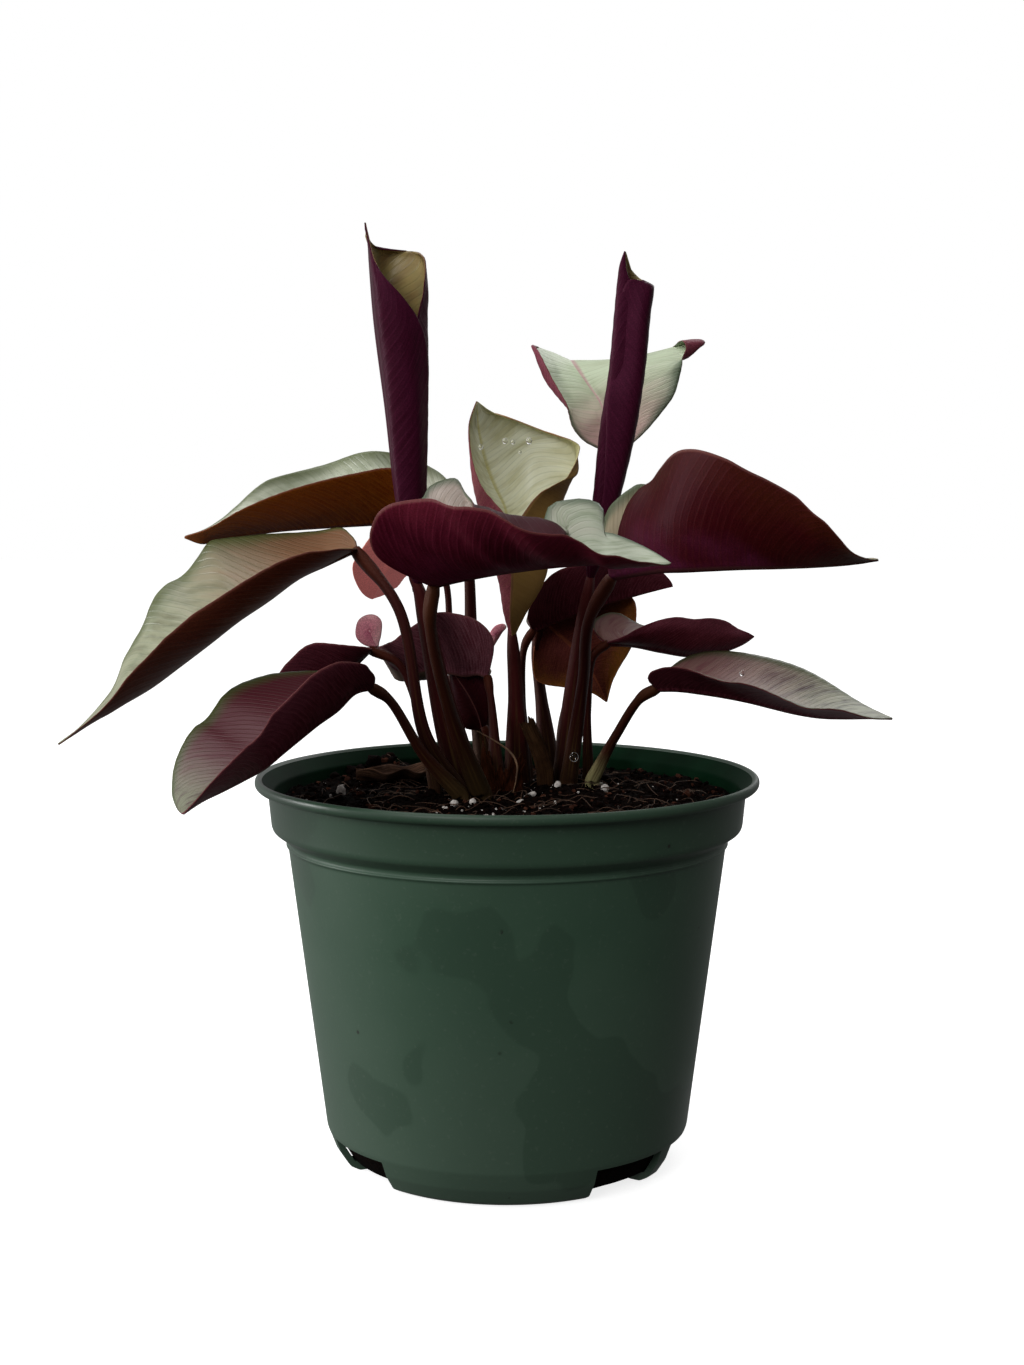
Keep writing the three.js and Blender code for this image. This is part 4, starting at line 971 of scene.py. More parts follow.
def pot_material():
    g = Graph("pot_green_plastic")
    place = g.object_place()
    parts = g.node("ShaderNodeSeparateXYZ")
    g.put(parts.inputs[0], place)
    blotch = g.noise(place, 22.0, 2.0, 0.45)
    damp = g.spread(blotch, 0.545, 0.56)
    cloud = g.noise(place, 9.0, 4.0, 0.6)
    base = g.mix(g.spread(cloud, 0.3, 0.7), (0.032, 0.074, 0.044), (0.045, 0.09, 0.056))
    lower = g.spread(parts.outputs[2], 0.0, 0.1, 0.5, 0.0)
    base = g.mix(lower, base, (0.062, 0.095, 0.07))
    collar = g.spread(parts.outputs[2], 0.107, 0.11)
    base = g.mix(g.times(collar, 0.55), base, (0.018, 0.045, 0.024))
    colour = g.mix(g.times(damp, 0.4), base, (0.022, 0.05, 0.03))
    speck = g.voronoi(place, 120.0)
    rare = g.noise(place, 60.0, 1.0)
    dots = g.times(g.spread(speck, 0.07, 0.12, 1.0, 0.0), g.spread(rare, 0.6, 0.66))
    colour = g.mix(dots, colour, (0.01, 0.012, 0.008))
    dust = g.noise(place, 700.0, 3.0)
    colour = g.mix(g.spread(dust, 0.58, 0.75, 0.0, 0.2), colour, (0.11, 0.15, 0.11))
    roughness = g.spread(blotch, 0.45, 0.6, 0.5, 0.4)
    scratch = g.noise(g.vector(parts.outputs[0], parts.outputs[1],
                               g.times(parts.outputs[2], 0.15)), 900.0, 2.0)
    height = g.plus(g.times(dust, 0.4), g.times(scratch, 0.3))
    return g.done(colour, roughness, g.bump(height, 0.12, 0.0003), 0.45)


# Painted shade inside the pot: a near black green for the inner wall, which lies in shadow
def pot_painted_shade_material():
    g = Graph("pot_inner_wall_painted_shade")
    place = g.object_place()
    cloud = g.noise(place, 30.0, 3.0)
    colour = g.mix(g.spread(cloud, 0.3, 0.7), (0.001, 0.012, 0.004), (0.002, 0.022, 0.008))
    dust = g.noise(place, 700.0, 3.0)
    return g.done(colour, 0.6, g.bump(dust, 0.12, 0.0003), 0.03)


def soil_material(name, dark, brown, pale, amount):
    g = Graph(name)
    place = g.object_place()
    info = g.node("ShaderNodeNewGeometry").outputs["Random Per Island"]
    fine = g.noise(place, 900.0, 4.0, 0.65)
    colour = g.mix(g.spread(fine, 0.35, 0.65), dark, brown)
    colour = g.mix(g.spread(info, amount, 1.0), colour, pale)
    return g.done(colour, 0.92, g.bump(fine, 0.7, 0.0006), 0.03)


def plain_material(name, first, second, scale, roughness, strength=0.5):
    """Two colours mixed by a noise, with bump from the same noise."""
    g = Graph(name)
    noise = g.noise(g.object_place(), scale, 4.0, 0.6)
    colour = g.mix(g.spread(noise, 0.35, 0.65), first, second)
    return g.done(colour, roughness, g.bump(noise, strength, 0.0005), 0.3)


def papery_material(name, dark, light):
    """Dry brown leaf matter, with fibres along u."""
    g = Graph(name)
    u, _, side = g.leaf_place()
    fibre = g.stretched(u, 2.0, side, 26.0, 1.5, 4.0)
    patch = g.noise(g.object_place(), 220.0, 3.0)
    colour = g.mix(g.spread(fibre, 0.35, 0.7), dark, light)
    colour = g.mix(g.spread(patch, 0.4, 0.7, 0.0, 0.7), colour, dark)
    return g.done(colour, 0.75, g.bump(fibre, 0.8, 0.0006), 0.08, Specular_Tint=(0.8, 0.5, 0.35, 1))


def water_material():
    g = Graph("water")
    return g.done((1.0, 1.0, 1.0), 0.03, None, 0.5, Transmission_Weight=1.0, IOR=1.33)


def ridge(part, u, v, shape):
    """Height of a ridge along the rib, which sinks towards the tip."""
    return np.exp(-(v * part["near"]["width"] / shape["width"]) ** 2) * (shape["end"] - u) * shape["height"]


def spread_blade(name, part, under, upper):
    """A blade as one closed sheet, pleated along its side veins."""
    row = np.linspace(0, 1, BLADE_ROWS + 1)
    u = BLADE_START + BLADE_REACH * row
    across = np.linspace(-1, 1, BLADE_COLUMNS + 1)
    across = np.sign(across) * np.abs(across) ** COLUMN_CROWDING
    u, across = np.meshgrid(u, across, indexing="ij")
    middle = blade_points(part, u, across)
    v = np.abs(across)
    bent = u - VEIN_SWEEP * v ** 1.5
    pleat = np.cos(2 * math.pi * PLEATS * bent) * smoothstep(0.05, 0.35, v) * smoothstep(1, 0.8, u)
    pleat = pleat * PLEAT_HEIGHT
    rounded = np.sqrt(np.clip(1 - ((v - RIM_START) / RIM_WIDTH).clip(0) ** 2, RIM_THINNEST, 1))
    thick = BLADE_THICKNESS / 2 * rounded
    rib, groove = ridge(part, u, v, RIB), ridge(part, u, v, GROOVE)
    uv = np.stack([u, (across + 1) / 2], -1).reshape(-1, 2)
    piece = sheet(f"leaf_{name}", middle, thick + pleat - groove, thick - pleat + rib, uv,
                  [upper, under])
    return settle(piece, slot_of(f"blade_{name}"), f"blade_{name}")


PETIOLE_STEPS = 60
PETIOLE_SIDES = 20
PETIOLE_COLLAR = 2
NECK = 0.82
THREAD = 0.15
SHEATH_GROOVE = {"depth": 0.22, "width": 0.45}
THREE_SIDED = 0.06

# How much wider than in the CAD some sheathing stalks are in their lower part
SHEATHS = {"tall_left": 1.4, "front_curl": 1.25, "funnel": 1.35, "hanging_back": 1.5, "dark_right": 1.5,
           "upper_left": 1.4, "low_left": 1.15, "centre_left": 1.5, "low_back": 1.6, "tall_right": 1.15}


def petiole(name, part, end, material, beyond=()):
    """A petiole from its hole up to the blade, with a grooved sheath at its foot.

    beyond holds more points, along which it thins out into the midrib."""
    x, y = part["foot"]
    path = spaced([[x, y, SOIL_TOP + PETIOLE_COLLAR], *part["via"], end, *beyond], PETIOLE_STEPS)
    bottom = np.array([[x, y, SOIL_TOP - HOLE_DEPTH + JOINT_GAP], [x, y, SOIL_TOP - PETIOLE_COLLAR]])
    centres = np.concatenate([bottom, path])
    t = np.concatenate([[0, 0.08], (1 + 8 * np.linspace(0, 1, PETIOLE_STEPS + 1)) / 9])
    swell = mix(SHEATH_SWELL, 1, np.clip((t - 0.1) / 0.4, 0, 1))
    knee = mix(1, PETIOLE_TAPER, t)
    knee = knee + (KNEE_SWELL - PETIOLE_TAPER) * smoothstep(0.84, 0.93, t)
    knee = knee * mix(1, NECK, smoothstep(0.97, 1, t))
    radius = part["stalk"] * swell * knee * mix(SHEATHS.get(name, 1), 1, smoothstep(0.3, 0.85, t))
    if len(beyond):
        radius = radius * mix(1, THREAD, smoothstep(0.7, 1, t))
    angle = 2 * math.pi * np.arange(PETIOLE_SIDES) / PETIOLE_SIDES
    fade = smoothstep(0.55, 0.3, t)
    dip = np.exp(-((angle - math.pi) / SHEATH_GROOVE["width"]) ** 2)
    wing = 1 - SHEATH_GROOVE["depth"] * fade[:, None] * dip[None, :]
    wing = wing * (1 - THREE_SIDED * np.cos(3 * angle)[None, :] * (1 - fade[:, None]))
    points, faces = tube(centres, radius[:, None] * wing, PETIOLE_SIDES)
    rows = len(centres)
    around = np.abs((np.arange(PETIOLE_SIDES) / PETIOLE_SIDES) * 2 - 1)
    uv = np.stack(np.broadcast_arrays(t[:, None], around[None, :]), -1).reshape(rows * PETIOLE_SIDES, 2)
    piece = make_piece(f"stalk_{name}", points, faces, [material], uv)
    return settle(piece, "petiole", f"petiole_{name}")


def slot_of(node):
    for row in frame["record"]["subparts"]:
        if row["node"] == node:
            return row["material_slot"]
    return None


def rounded_profile(profile, radius):
    """The profile with each inner corner rounded by a short curve."""
    made = [profile[0]]
    for before, corner, after in zip(profile, profile[1:], profile[2:]):
        before, corner, after = (np.array(p, float) for p in (before, corner, after))
        back, ahead = before - corner, after - corner
        back *= min(radius, 0.4 * np.linalg.norm(back)) / np.linalg.norm(back)
        ahead *= min(radius, 0.4 * np.linalg.norm(ahead)) / np.linalg.norm(ahead)
        for t in (0, 0.33, 0.67, 1):
            made.append(tuple(corner + back * (1 - t) ** 2 + ahead * t ** 2))
    made.append(profile[-1])
    return made


POT_SIDES = 192
POT_ROUNDING = 0.7
POT_SMOOTH_ANGLE = 32
POT_PROFILE = [
    (0, 0.25), (46, 0.25), (48, 0), (51.5, 0), (54.5, 1.6), (57.7, 6.5), (60, 12.5), (71.8, 105.3),
    (72.5, 105.9), (72.5, 106.3), (72.0, 106.9), (72.3, 108.2), (76.7, 111.2), (77.2, 112.5),
    (78.3, 124.2), (81.7, 124.7), (82.5, 125.7), (82.5, 127.2), (81.8, 128), (80.9, 128), (80.4, 127.4),
    (76.4, 123.2), (75.3, 113), (70.4, 107.5), (58.1, 13.5), (56.4, 8.5), (53.1, 3), (0, 3),
]
NOTCH_PAIRS = [59, 174, -72]
NOTCH_OFFSET = 17
NOTCH_HALF_ANGLE = 13.8
NOTCH_INNER_RADIUS = 46
NOTCH_OUTER_RADIUS = 68
NOTCH_BOTTOM = -2
NOTCH_TOP = 11.5
NOTCH_STEPS = 10
# The inner wall gets painted shade between these heights, from below the soil up to the lip
PAINTED_SHADE_WALL = (110, 127.2)


def turned_rings(profile, sides):
    """A ring of points for each radius and height of the profile."""
    angle = 2 * math.pi * np.arange(sides) / sides
    rows = np.array(profile, float)
    return np.stack(np.broadcast_arrays(
        rows[:, :1] * np.cos(angle), rows[:, :1] * np.sin(angle), rows[:, 1:]), -1)


def closed_rings(rings, low, high):
    """Points and faces of a solid from its rings and the heights on the axis that close it."""
    count, sides = rings.shape[:2]
    points = np.concatenate([rings.reshape(-1, 3), [[0, 0, low], [0, 0, high]]])
    faces = []
    for k in range(sides):
        n = (k + 1) % sides
        faces.append([count * sides, n, k])
        for i in range(count - 1):
            faces.append([i * sides + k, i * sides + n, (i + 1) * sides + n, (i + 1) * sides + k])
        faces.append([(count - 1) * sides + k, (count - 1) * sides + n, count * sides + 1])
    return points, faces


def notch_block(centre_angle):
    """Points and faces of a block over one notch in the pot's foot."""
    start, stop = (math.radians(-90 + centre_angle + s * NOTCH_HALF_ANGLE) for s in (-1, 1))
    points, faces = [], []
    for i in range(NOTCH_STEPS + 1):
        angle = mix(start, stop, i / NOTCH_STEPS)
        for radius in (NOTCH_INNER_RADIUS, NOTCH_OUTER_RADIUS):
            for height in (NOTCH_BOTTOM, NOTCH_TOP):
                points.append([radius * math.cos(angle), radius * math.sin(angle), height])
    for i in range(NOTCH_STEPS):
        a, b = 4 * i, 4 * i + 4
        faces += [[a, a + 1, b + 1, b], [a + 2, b + 2, b + 3, a + 3],
                  [a, b, b + 2, a + 2], [a + 1, a + 3, b + 3, b + 1]]
    last = 4 * NOTCH_STEPS
    faces += [[0, 2, 3, 1], [last, last + 1, last + 3, last + 2]]
    return points, faces


def build_pot():
    profile = rounded_profile(POT_PROFILE, POT_ROUNDING)
    rings = turned_rings(profile[1:-1], POT_SIDES)
    points, faces = closed_rings(rings, profile[0][1], profile[-1][1])
    pot = make_piece("nursery_pot", points, faces, [pot_material()])
    blocks = []
    for pair in NOTCH_PAIRS:
        for offset in (-NOTCH_OFFSET, NOTCH_OFFSET):
            block_points, block_faces = notch_block(pair + offset)
            block = make_piece("notch", block_points, block_faces, [])
            cut = pot.modifiers.new("notch", "BOOLEAN")
            cut.operation = "DIFFERENCE"
            cut.solver = "EXACT"
            cut.object = block
            blocks.append(block)
    shaped = pot.evaluated_get(bpy.context.evaluated_depsgraph_get())
    mesh = bpy.data.meshes.new_from_object(shaped)
    pot.modifiers.clear()
    pot.data = mesh
    for block in blocks:
        bpy.data.objects.remove(block)
    mesh.polygons.foreach_set("use_smooth", [True] * len(mesh.polygons))
    mesh.set_sharp_from_angle(angle=math.radians(POT_SMOOTH_ANGLE))
    # The inward faces below the lip take the painted shade material
    mesh.materials.append(pot_painted_shade_material())
    for face in mesh.polygons:
        x, y, z = face.center
        inward = face.normal.x * x + face.normal.y * y < 0
        if inward and PAINTED_SHADE_WALL[0] * MM < z < PAINTED_SHADE_WALL[1] * MM:
            face.material_index = 1
    return settle(pot, "pot", "pot")


def rough_noise(x, y, seed):
    """Sum of a few tilted sines: a repeatable rough surface of about unit height."""
    total = 0
    draw = random.Random(seed)
    for size in (9, 6, 4, 2.6, 1.7, 1.1):
        turn = draw.uniform(0, 2 * math.pi)
        shift = draw.uniform(0, 2 * math.pi)
        wave = 2 * math.pi / size
        along = x * math.cos(turn) + y * math.sin(turn)
        cross = y * math.cos(turn) - x * math.sin(turn)
        total = total + size / 9 * np.sin(along * wave + shift + 1.3 * np.sin(cross * wave * 0.7))
    return total


# The soil's side, as radii and heights from the floor up, and its rough top
SOIL_WALL = [(52.7, 3.35), (55.9, 8.6), (57.5, 13.5), (69.8, 107.6), (74.7, 113.2)]
SOIL_BOTTOM = 3.35
SOIL_RINGS = 110
SOIL_SIDES = 300
SOIL_ROUGHNESS = 0.55
SOIL_SINK = 0.5


def build_soil():
    """The soil's block, with a rough top."""
    radius = SOIL_EDGE * (1 - np.arange(SOIL_RINGS) / SOIL_RINGS)
    angle = 2 * math.pi * np.arange(SOIL_SIDES) / SOIL_SIDES
    x = radius[:, None] * np.cos(angle)
    y = radius[:, None] * np.sin(angle)
    inside = smoothstep(0, 0.03, 1 - radius / SOIL_EDGE)[:, None]
    z = soil_height(x, y) + SOIL_ROUGHNESS * rough_noise(x, y, 5) * inside - SOIL_SINK
    rings = np.concatenate([turned_rings(SOIL_WALL, SOIL_SIDES), np.stack([x, y, z], -1)])
    points, faces = closed_rings(rings, SOIL_BOTTOM, float(z[-1].mean()))
    material = soil_material("soil_dark", (0.001, 0.0006, 0.0005), (0.006, 0.003, 0.002),
                             (0.006, 0.003, 0.002), 0.9)
    return settle(make_piece("soil_bed", points, faces, [material]), "soil", "soil")


def icosahedron():
    g = (1 + math.sqrt(5)) / 2
    points = np.array([(-1, g, 0), (1, g, 0), (-1, -g, 0), (1, -g, 0), (0, -1, g), (0, 1, g),
                       (0, -1, -g), (0, 1, -g), (g, 0, -1), (g, 0, 1), (-g, 0, -1), (-g, 0, 1)], float)
    faces = [(0, 11, 5), (0, 5, 1), (0, 1, 7), (0, 7, 10), (0, 10, 11), (1, 5, 9), (5, 11, 4),
             (11, 10, 2), (10, 7, 6), (7, 1, 8), (3, 9, 4), (3, 4, 2), (3, 2, 6), (3, 6, 8),
             (3, 8, 9), (4, 9, 5), (2, 4, 11), (6, 2, 10), (8, 6, 7), (9, 8, 1)]
    return points / math.sqrt(1 + g * g), faces


def subdivided(points, faces):
    """The ball with each triangle cut in four."""
    points = [tuple(p) for p in points]
    found = {}

    def middle(a, b):
        key = (min(a, b), max(a, b))
        if key not in found:
            centre = np.array(points[a]) + np.array(points[b])
            found[key] = len(points)
            points.append(tuple(centre / np.linalg.norm(centre)))
        return found[key]

    made = []
    for a, b, c in faces:
        ab, bc, ca = middle(a, b), middle(b, c), middle(c, a)
        made += [(a, ab, ca), (b, bc, ab), (c, ca, bc), (ab, bc, ca)]
    return np.array(points), made


def turned(points, draw):
    """The points turned at random."""
    axis = np.array([draw.gauss(0, 1) for _ in range(3)])
    axis /= np.linalg.norm(axis)
    angle = draw.uniform(0, 2 * math.pi)
    cross = np.array([[0, -axis[2], axis[1]], [axis[2], 0, -axis[0]], [-axis[1], axis[0], 0]])
    matrix = np.eye(3) + math.sin(angle) * cross + (1 - math.cos(angle)) * cross @ cross
    return points @ matrix.T


def lumps(name, places, sizes, seed, shape, rough, flat, material, slot, nodes=()):
    """Many small rough lumps in one piece."""
    draw = random.Random(seed)
    ball, ball_faces = shape
    points, faces = [], []
    for (x, y, z), size in zip(places, sizes):
        bumps = np.array([draw.uniform(1 - rough, 1 + rough) for _ in range(len(ball))])
        stretch = np.array([draw.uniform(0.7, 1.35), draw.uniform(0.6, 1.0), draw.uniform(0.45, 0.9)])
        one = turned(ball * bumps[:, None] * stretch * size, draw)
        one[:, 2] *= flat
        first = len(points) * len(ball)
        points.append(one + np.array([x, y, z]))
        faces += [[a + first, b + first, c + first] for a, b, c in ball_faces]
    piece = make_piece(name, np.concatenate(points), faces, [material], smooth=len(ball) > 20)
    return settle(piece, slot, *nodes)


LITTER_EDGE = SOIL_EDGE - 1.6
CRUMBS = 5200
BARK_BITS = 170
HEAP = {"count": 90, "centre": (-44, 52), "reach": 8}
PERLITE_DUST = 120
NEAR_DUST = {"count": 26, "centre": (-4, -24), "reach": 9}
PERLITE = [(33, 18, 1.9), (8, 3, 1.5), (17, 17, 1.4), (-17, -16, 1.5), (-11, -18, 1.3),
           (-55, 3, 1.8), (4, -10, 1.2)]


def scattered(count, seed, low, high, centre=None, reach=None):
    """Places on the soil and sizes, drawn at random, small ones more often."""
    draw = random.Random(seed)
    places, sizes = [], []
    while len(places) < count:
        radius = LITTER_EDGE * math.sqrt(draw.random())
        angle = draw.uniform(0, 2 * math.pi)
        x, y = radius * math.cos(angle), radius * math.sin(angle)
        if centre is not None:
            x, y = draw.gauss(centre[0], reach), draw.gauss(centre[1], reach)
            if math.hypot(x, y) > LITTER_EDGE:
                continue
        size = low * (high / low) ** (draw.random() ** 2.2)
        places.append((x, y, float(soil_height(x, y)) - 0.2 + 0.25 * size))
        sizes.append(size)
    return places, sizes


def build_litter():
    ball = icosahedron()
    fine_ball = subdivided(*ball)
    crumb = soil_material("soil_crumb", (0.001, 0.0004, 0.0003), (0.006, 0.002, 0.0014),
                          (0.07, 0.026, 0.016), 0.84)
    places, sizes = scattered(CRUMBS, 11, 0.35, 1.5)
    lumps("soil_crumbs", places, sizes, 12, ball, 0.3, 0.85, crumb, "soil")
    places, sizes = scattered(BARK_BITS, 21, 0.9, 2.6)
    lumps("bark_bits", places, sizes, 22, fine_ball, 0.16, 0.7, crumb, "soil")
    places, sizes = scattered(HEAP["count"], 23, 1.0, 3.2, HEAP["centre"], HEAP["reach"])
    lumps("soil_heap", places, sizes, 24, fine_ball, 0.2, 0.9, crumb, "soil")
    white = plain_material("perlite_white", (0.42, 0.38, 0.35), (0.62, 0.58, 0.54), 900.0, 0.85, 0.8)
    finest = subdivided(*fine_ball)
    places = [(x, y, float(soil_height(x, y)) + 0.3 * r) for x, y, r in PERLITE]
    lumps("perlite_grains", places, [r * 1.05 for _, _, r in PERLITE], 31, finest, 0.07, 1.0, white,
          "perlite", [f"perlite_{i + 1}" for i in range(len(PERLITE))])
    places, sizes = scattered(PERLITE_DUST, 33, 0.25, 0.9)
    near, near_sizes = scattered(
        NEAR_DUST["count"], 35, 0.4, 1.1, NEAR_DUST["centre"], NEAR_DUST["reach"])
    lumps("perlite_dust", places + near, sizes + near_sizes, 34, fine_ball, 0.15, 0.9, white,
          "perlite")


FIBRE_STEPS = 9
FIBRE_SIDES = 5


def fibres(name, count, seed, shortest, longest, thickness, material, slot, lift=0.3):
    """Thin curved threads lying on the soil."""
    draw = random.Random(seed)
    points, faces = [], []
    for _ in range(count):
        radius = (SOIL_EDGE - 8) * math.sqrt(draw.random())
        around = draw.uniform(0, 2 * math.pi)
        x, y = radius * math.cos(around), radius * math.sin(around)
        heading = draw.uniform(0, 2 * math.pi)
        length = draw.uniform(shortest, longest)
        bend = draw.uniform(-1.6, 1.6)
        rise = draw.uniform(0.2, 1.4)
        centres = []
        step = length / FIBRE_STEPS
        for i in range(FIBRE_STEPS + 1):
            part = i / FIBRE_STEPS
            turn = heading + bend * part
            x += step * math.cos(turn)
            y += step * math.sin(turn)
            if math.hypot(x, y) > SOIL_EDGE - 1:
                x, y = x * 0.985, y * 0.985
            height = float(soil_height(x, y)) + lift + rise * math.sin(math.pi * part)
            centres.append([x, y, height])
        one, one_faces = tube(centres, [thickness] * (FIBRE_STEPS + 1), FIBRE_SIDES)
        faces += [[c + len(points) for c in f] for f in one_faces]
        points += one.tolist()
    return settle(make_piece(name, points, faces, [material]), slot)


STUB = {"foot": [13, 25.5], "top": [6.5, 24, 142.0], "radius": 2.6, "steps": 25, "sides": 36}


def build_stub():
    """The cut petiole stub, hollow and frayed at its top."""
    foot, top = np.array(STUB["foot"]), np.array(STUB["top"])
    low = np.array([*foot, SOIL_TOP + 2.0])
    bend = np.array([*foot, SOIL_TOP + 9.0])
    part = np.linspace(0, 1, STUB["steps"] + 1)[:, None]
    path = low * (1 - part) ** 2 + 2 * bend * part * (1 - part) + top * part ** 2
    centres = np.concatenate([[[*foot, SOIL_TOP - HOLE_DEPTH + JOINT_GAP]], path])
    sides = STUB["sides"]
    draw = random.Random(4)
    radius = np.linspace(1.15, 1, len(centres))[:, None] * STUB["radius"] * np.ones((1, sides))
    radius *= 1 + 0.05 * np.sin(np.arange(sides) * 1.9)[None, :]
    points, faces = tube(centres, radius, sides)
    rows = len(centres)
    frayed = points.reshape(rows, sides, 3).copy()
    tangent = frayed[-1].mean(0) - frayed[-2].mean(0)
    tangent /= np.linalg.norm(tangent)
    jag = np.array([draw.uniform(-2.2, 1.6) for _ in range(sides)])
    for back in range(1, 4):
        frayed[-back] += tangent * (jag * (1 - 0.3 * (back - 1)))[:, None]
    centre = frayed[-1].mean(0)
    inner = centre + (frayed[-1] - centre) * 0.72
    deep = centre + (frayed[-1] - centre) * 0.62 - tangent * 3.5
    points = np.concatenate([frayed.reshape(-1, 3), inner, deep])
    faces = faces[:-1]
    for k in range(sides):
        n = (k + 1) % sides
        a = (rows - 1) * sides
        faces.append([a + k, a + n, a + sides + n, a + sides + k])
        faces.append([a + sides + k, a + sides + n, a + 2 * sides + n, a + 2 * sides + k])
    faces.append([(rows + 1) * sides + k for k in range(sides)])
    along = np.concatenate([np.linspace(0, 1, rows), [1, 1]])
    around = np.abs(np.arange(sides) / sides * 2 - 1)
    uv = np.stack(np.broadcast_arrays(along[:, None], around[None, :]), -1).reshape(-1, 2)
    material = papery_material("stub_fibre", (0.016, 0.006, 0.003), (0.09, 0.045, 0.02))
    return settle(make_piece("cut_stub", points, faces, [material], uv), "cut_stub", "cut_petiole_stub")


def unit_grid(rows, columns):
    """Two arrays that run from 0 to 1, one along the rows and one across them."""
    return np.meshgrid(np.linspace(0, 1, rows), np.linspace(0, 1, columns), indexing="ij")


# The dry sheath, wrapped part of the way round the feet of the stalks
SHEATH = {"x": -1.5, "y": 12.5, "radius": 7, "height": 19, "half_angle": 66, "half_thickness": 0.2}


def build_sheath():
    """The dry papery sheath, with a torn top and creases."""
    row, column = unit_grid(60, 70)
    angle = np.radians(-90 + SHEATH["half_angle"] * (2 * column - 1))
    crease = 0.5 * np.sin(9 * column + 5 * row) + 0.35 * np.sin(23 * column - 7 * row)
    radius = SHEATH["radius"] * mix(1, 1.12, row) + crease * smoothstep(0, 0.2, row)
    x = SHEATH["x"] + radius * np.cos(angle)
    y = SHEATH["y"] + radius * np.sin(angle) * 0.9
    ragged = 0.8 + 0.2 * np.cos(7 * column) - 0.35 * column
    torn = 0.06 * np.sin(31 * column) + 0.05 * np.sin(57 * column + 1)
    z = soil_height(x, y) - 0.6 + row * SHEATH["height"] * (ragged + torn * row)
    thick = np.full(x.shape, SHEATH["half_thickness"])
    uv = np.stack([row, column], -1).reshape(-1, 2)
    material = papery_material("sheath_paper", (0.012, 0.003, 0.001), (0.075, 0.02, 0.008))
    piece = sheet("papery_sheath", np.stack([x, y, z], -1), thick, thick, uv, [material, material])
    return settle(piece, "dry_leaf", "dry_sheath")


DRIED_LEAF = {"x": -38, "y": 33, "turn": 8, "length": 28, "width": 17, "half_thickness": 0.22}


def build_dried_leaf():
    """The dried leaf on the soil, creased and curled at its margins."""
    row, column = unit_grid(70, 34)
    h = math.radians(DRIED_LEAF["turn"])
    along = (row - 0.5) * DRIED_LEAF["length"]
    torn = 1 + 0.1 * np.sin(19 * row) * np.abs(2 * column - 1)
    across = (column - 0.5) * DRIED_LEAF["width"] * np.sin(math.pi * mix(0.03, 0.97, row)) * torn
    x = DRIED_LEAF["x"] + along * math.cos(h) - across * math.sin(h)
    y = DRIED_LEAF["y"] + along * math.sin(h) + across * math.cos(h)
    lift = 3 * (2 * column - 1) ** 2 + 0.8 * np.sin(9 * row) ** 2
    lift = lift + 0.45 * np.sin(26 * column + 3 * row) + 0.3 * np.sin(14 * row + 9 * column)
    z = soil_height(x, y) + 1.0 + lift
    thick = np.full(x.shape, DRIED_LEAF["half_thickness"])
    uv = np.stack([row, column], -1).reshape(-1, 2)
    material = papery_material("dried_leaf", (0.03, 0.015, 0.01), (0.12, 0.062, 0.036))
    piece = sheet("dried_leaf", np.stack([x, y, z], -1), thick, thick, uv, [material, material])
    return settle(piece, "dry_leaf", "dried_leaf_on_soil")


# Underside colours: at the base of the midrib, in between, at margin and tip, and on the veins
# On the front curl's underside, second is painted shade: the far half, inside the curl, is made near black.
WINE = underside("under_wine", seen(72, 20, 40), seen(50, 5, 17), seen(66, 14, 24), seen(84, 24, 40),
                 second=seen(34, 2, 5, 0.8))
ROLL_WINE = underside("under_roll", seen(44, 8, 24, 0.66), seen(38, 5, 18, 0.66),
                      seen(46, 9, 26, 0.66), seen(60, 17, 36, 0.66), seen(50, 14, 28, 0.66))
# Back of the big right leaf: the purple at the midrib's base is partly its own colour and partly painted
# sheen.
DEEP_AND_SHEEN = underside("under_deep_and_sheen", seen(66, 20, 42, 0.66), seen(40, 2, 5, 0.66), seen(46, 14, 4, 0.66),
                 seen(56, 16, 16, 0.66))
OLIVE = underside("under_olive", seen(44, 10, 2, 0.34), seen(64, 26, 2, 0.3), seen(66, 30, 3, 0.3),
                  seen(92, 54, 12, 0.34))
BROWN = underside("under_brown", seen(60, 38, 18), seen(62, 26, 12), seen(72, 34, 26), seen(86, 48, 30))
PLUM = underside("under_plum", seen(40, 8, 14, 0.35), seen(50, 13, 20, 0.35), seen(64, 26, 34, 0.35),
                 seen(84, 42, 50, 0.35))
DUSKY = underside("under_dusky", seen(50, 20, 26, 0.34), seen(54, 22, 28, 0.34), seen(68, 32, 38, 0.34),
                  seen(92, 62, 68, 0.34), first=seen(58, 50, 40, 0.3))
NIGHT = underside("under_night", seen(20, 2, 3), seen(28, 3, 4), seen(34, 5, 8), seen(40, 10, 12))
# Pink back of the small back leaf: its bright colour is partly its own pink and partly painted light that
# shines through from behind; a painted glow is added.
PINK_BACKLIT = underside("under_pink_backlit", seen(118, 62, 60, 0.4), seen(134, 76, 70, 0.4),
                 seen(126, 66, 58, 0.4), seen(140, 84, 74, 0.4), seen(150, 90, 70, 0.4))
painted_backlight_glow(PINK_BACKLIT, (1, 0.31, 0.3, 1), 0.15)
BLUSH = underside("under_blush", seen(110, 54, 70, 0.42), seen(132, 82, 90, 0.42),
                  seen(160, 124, 124, 0.42), seen(150, 100, 106, 0.42), seen(96, 40, 50, 0.42))
RUST = underside("under_rust", seen(66, 26, 26), seen(64, 26, 20), seen(92, 58, 10), seen(96, 50, 36),
                 seen(110, 60, 36))
FUNNEL = underside("under_funnel", seen(70, 30, 26), seen(92, 44, 52), seen(84, 34, 44), seen(96, 56, 50),
                   first=seen(124, 98, 50))

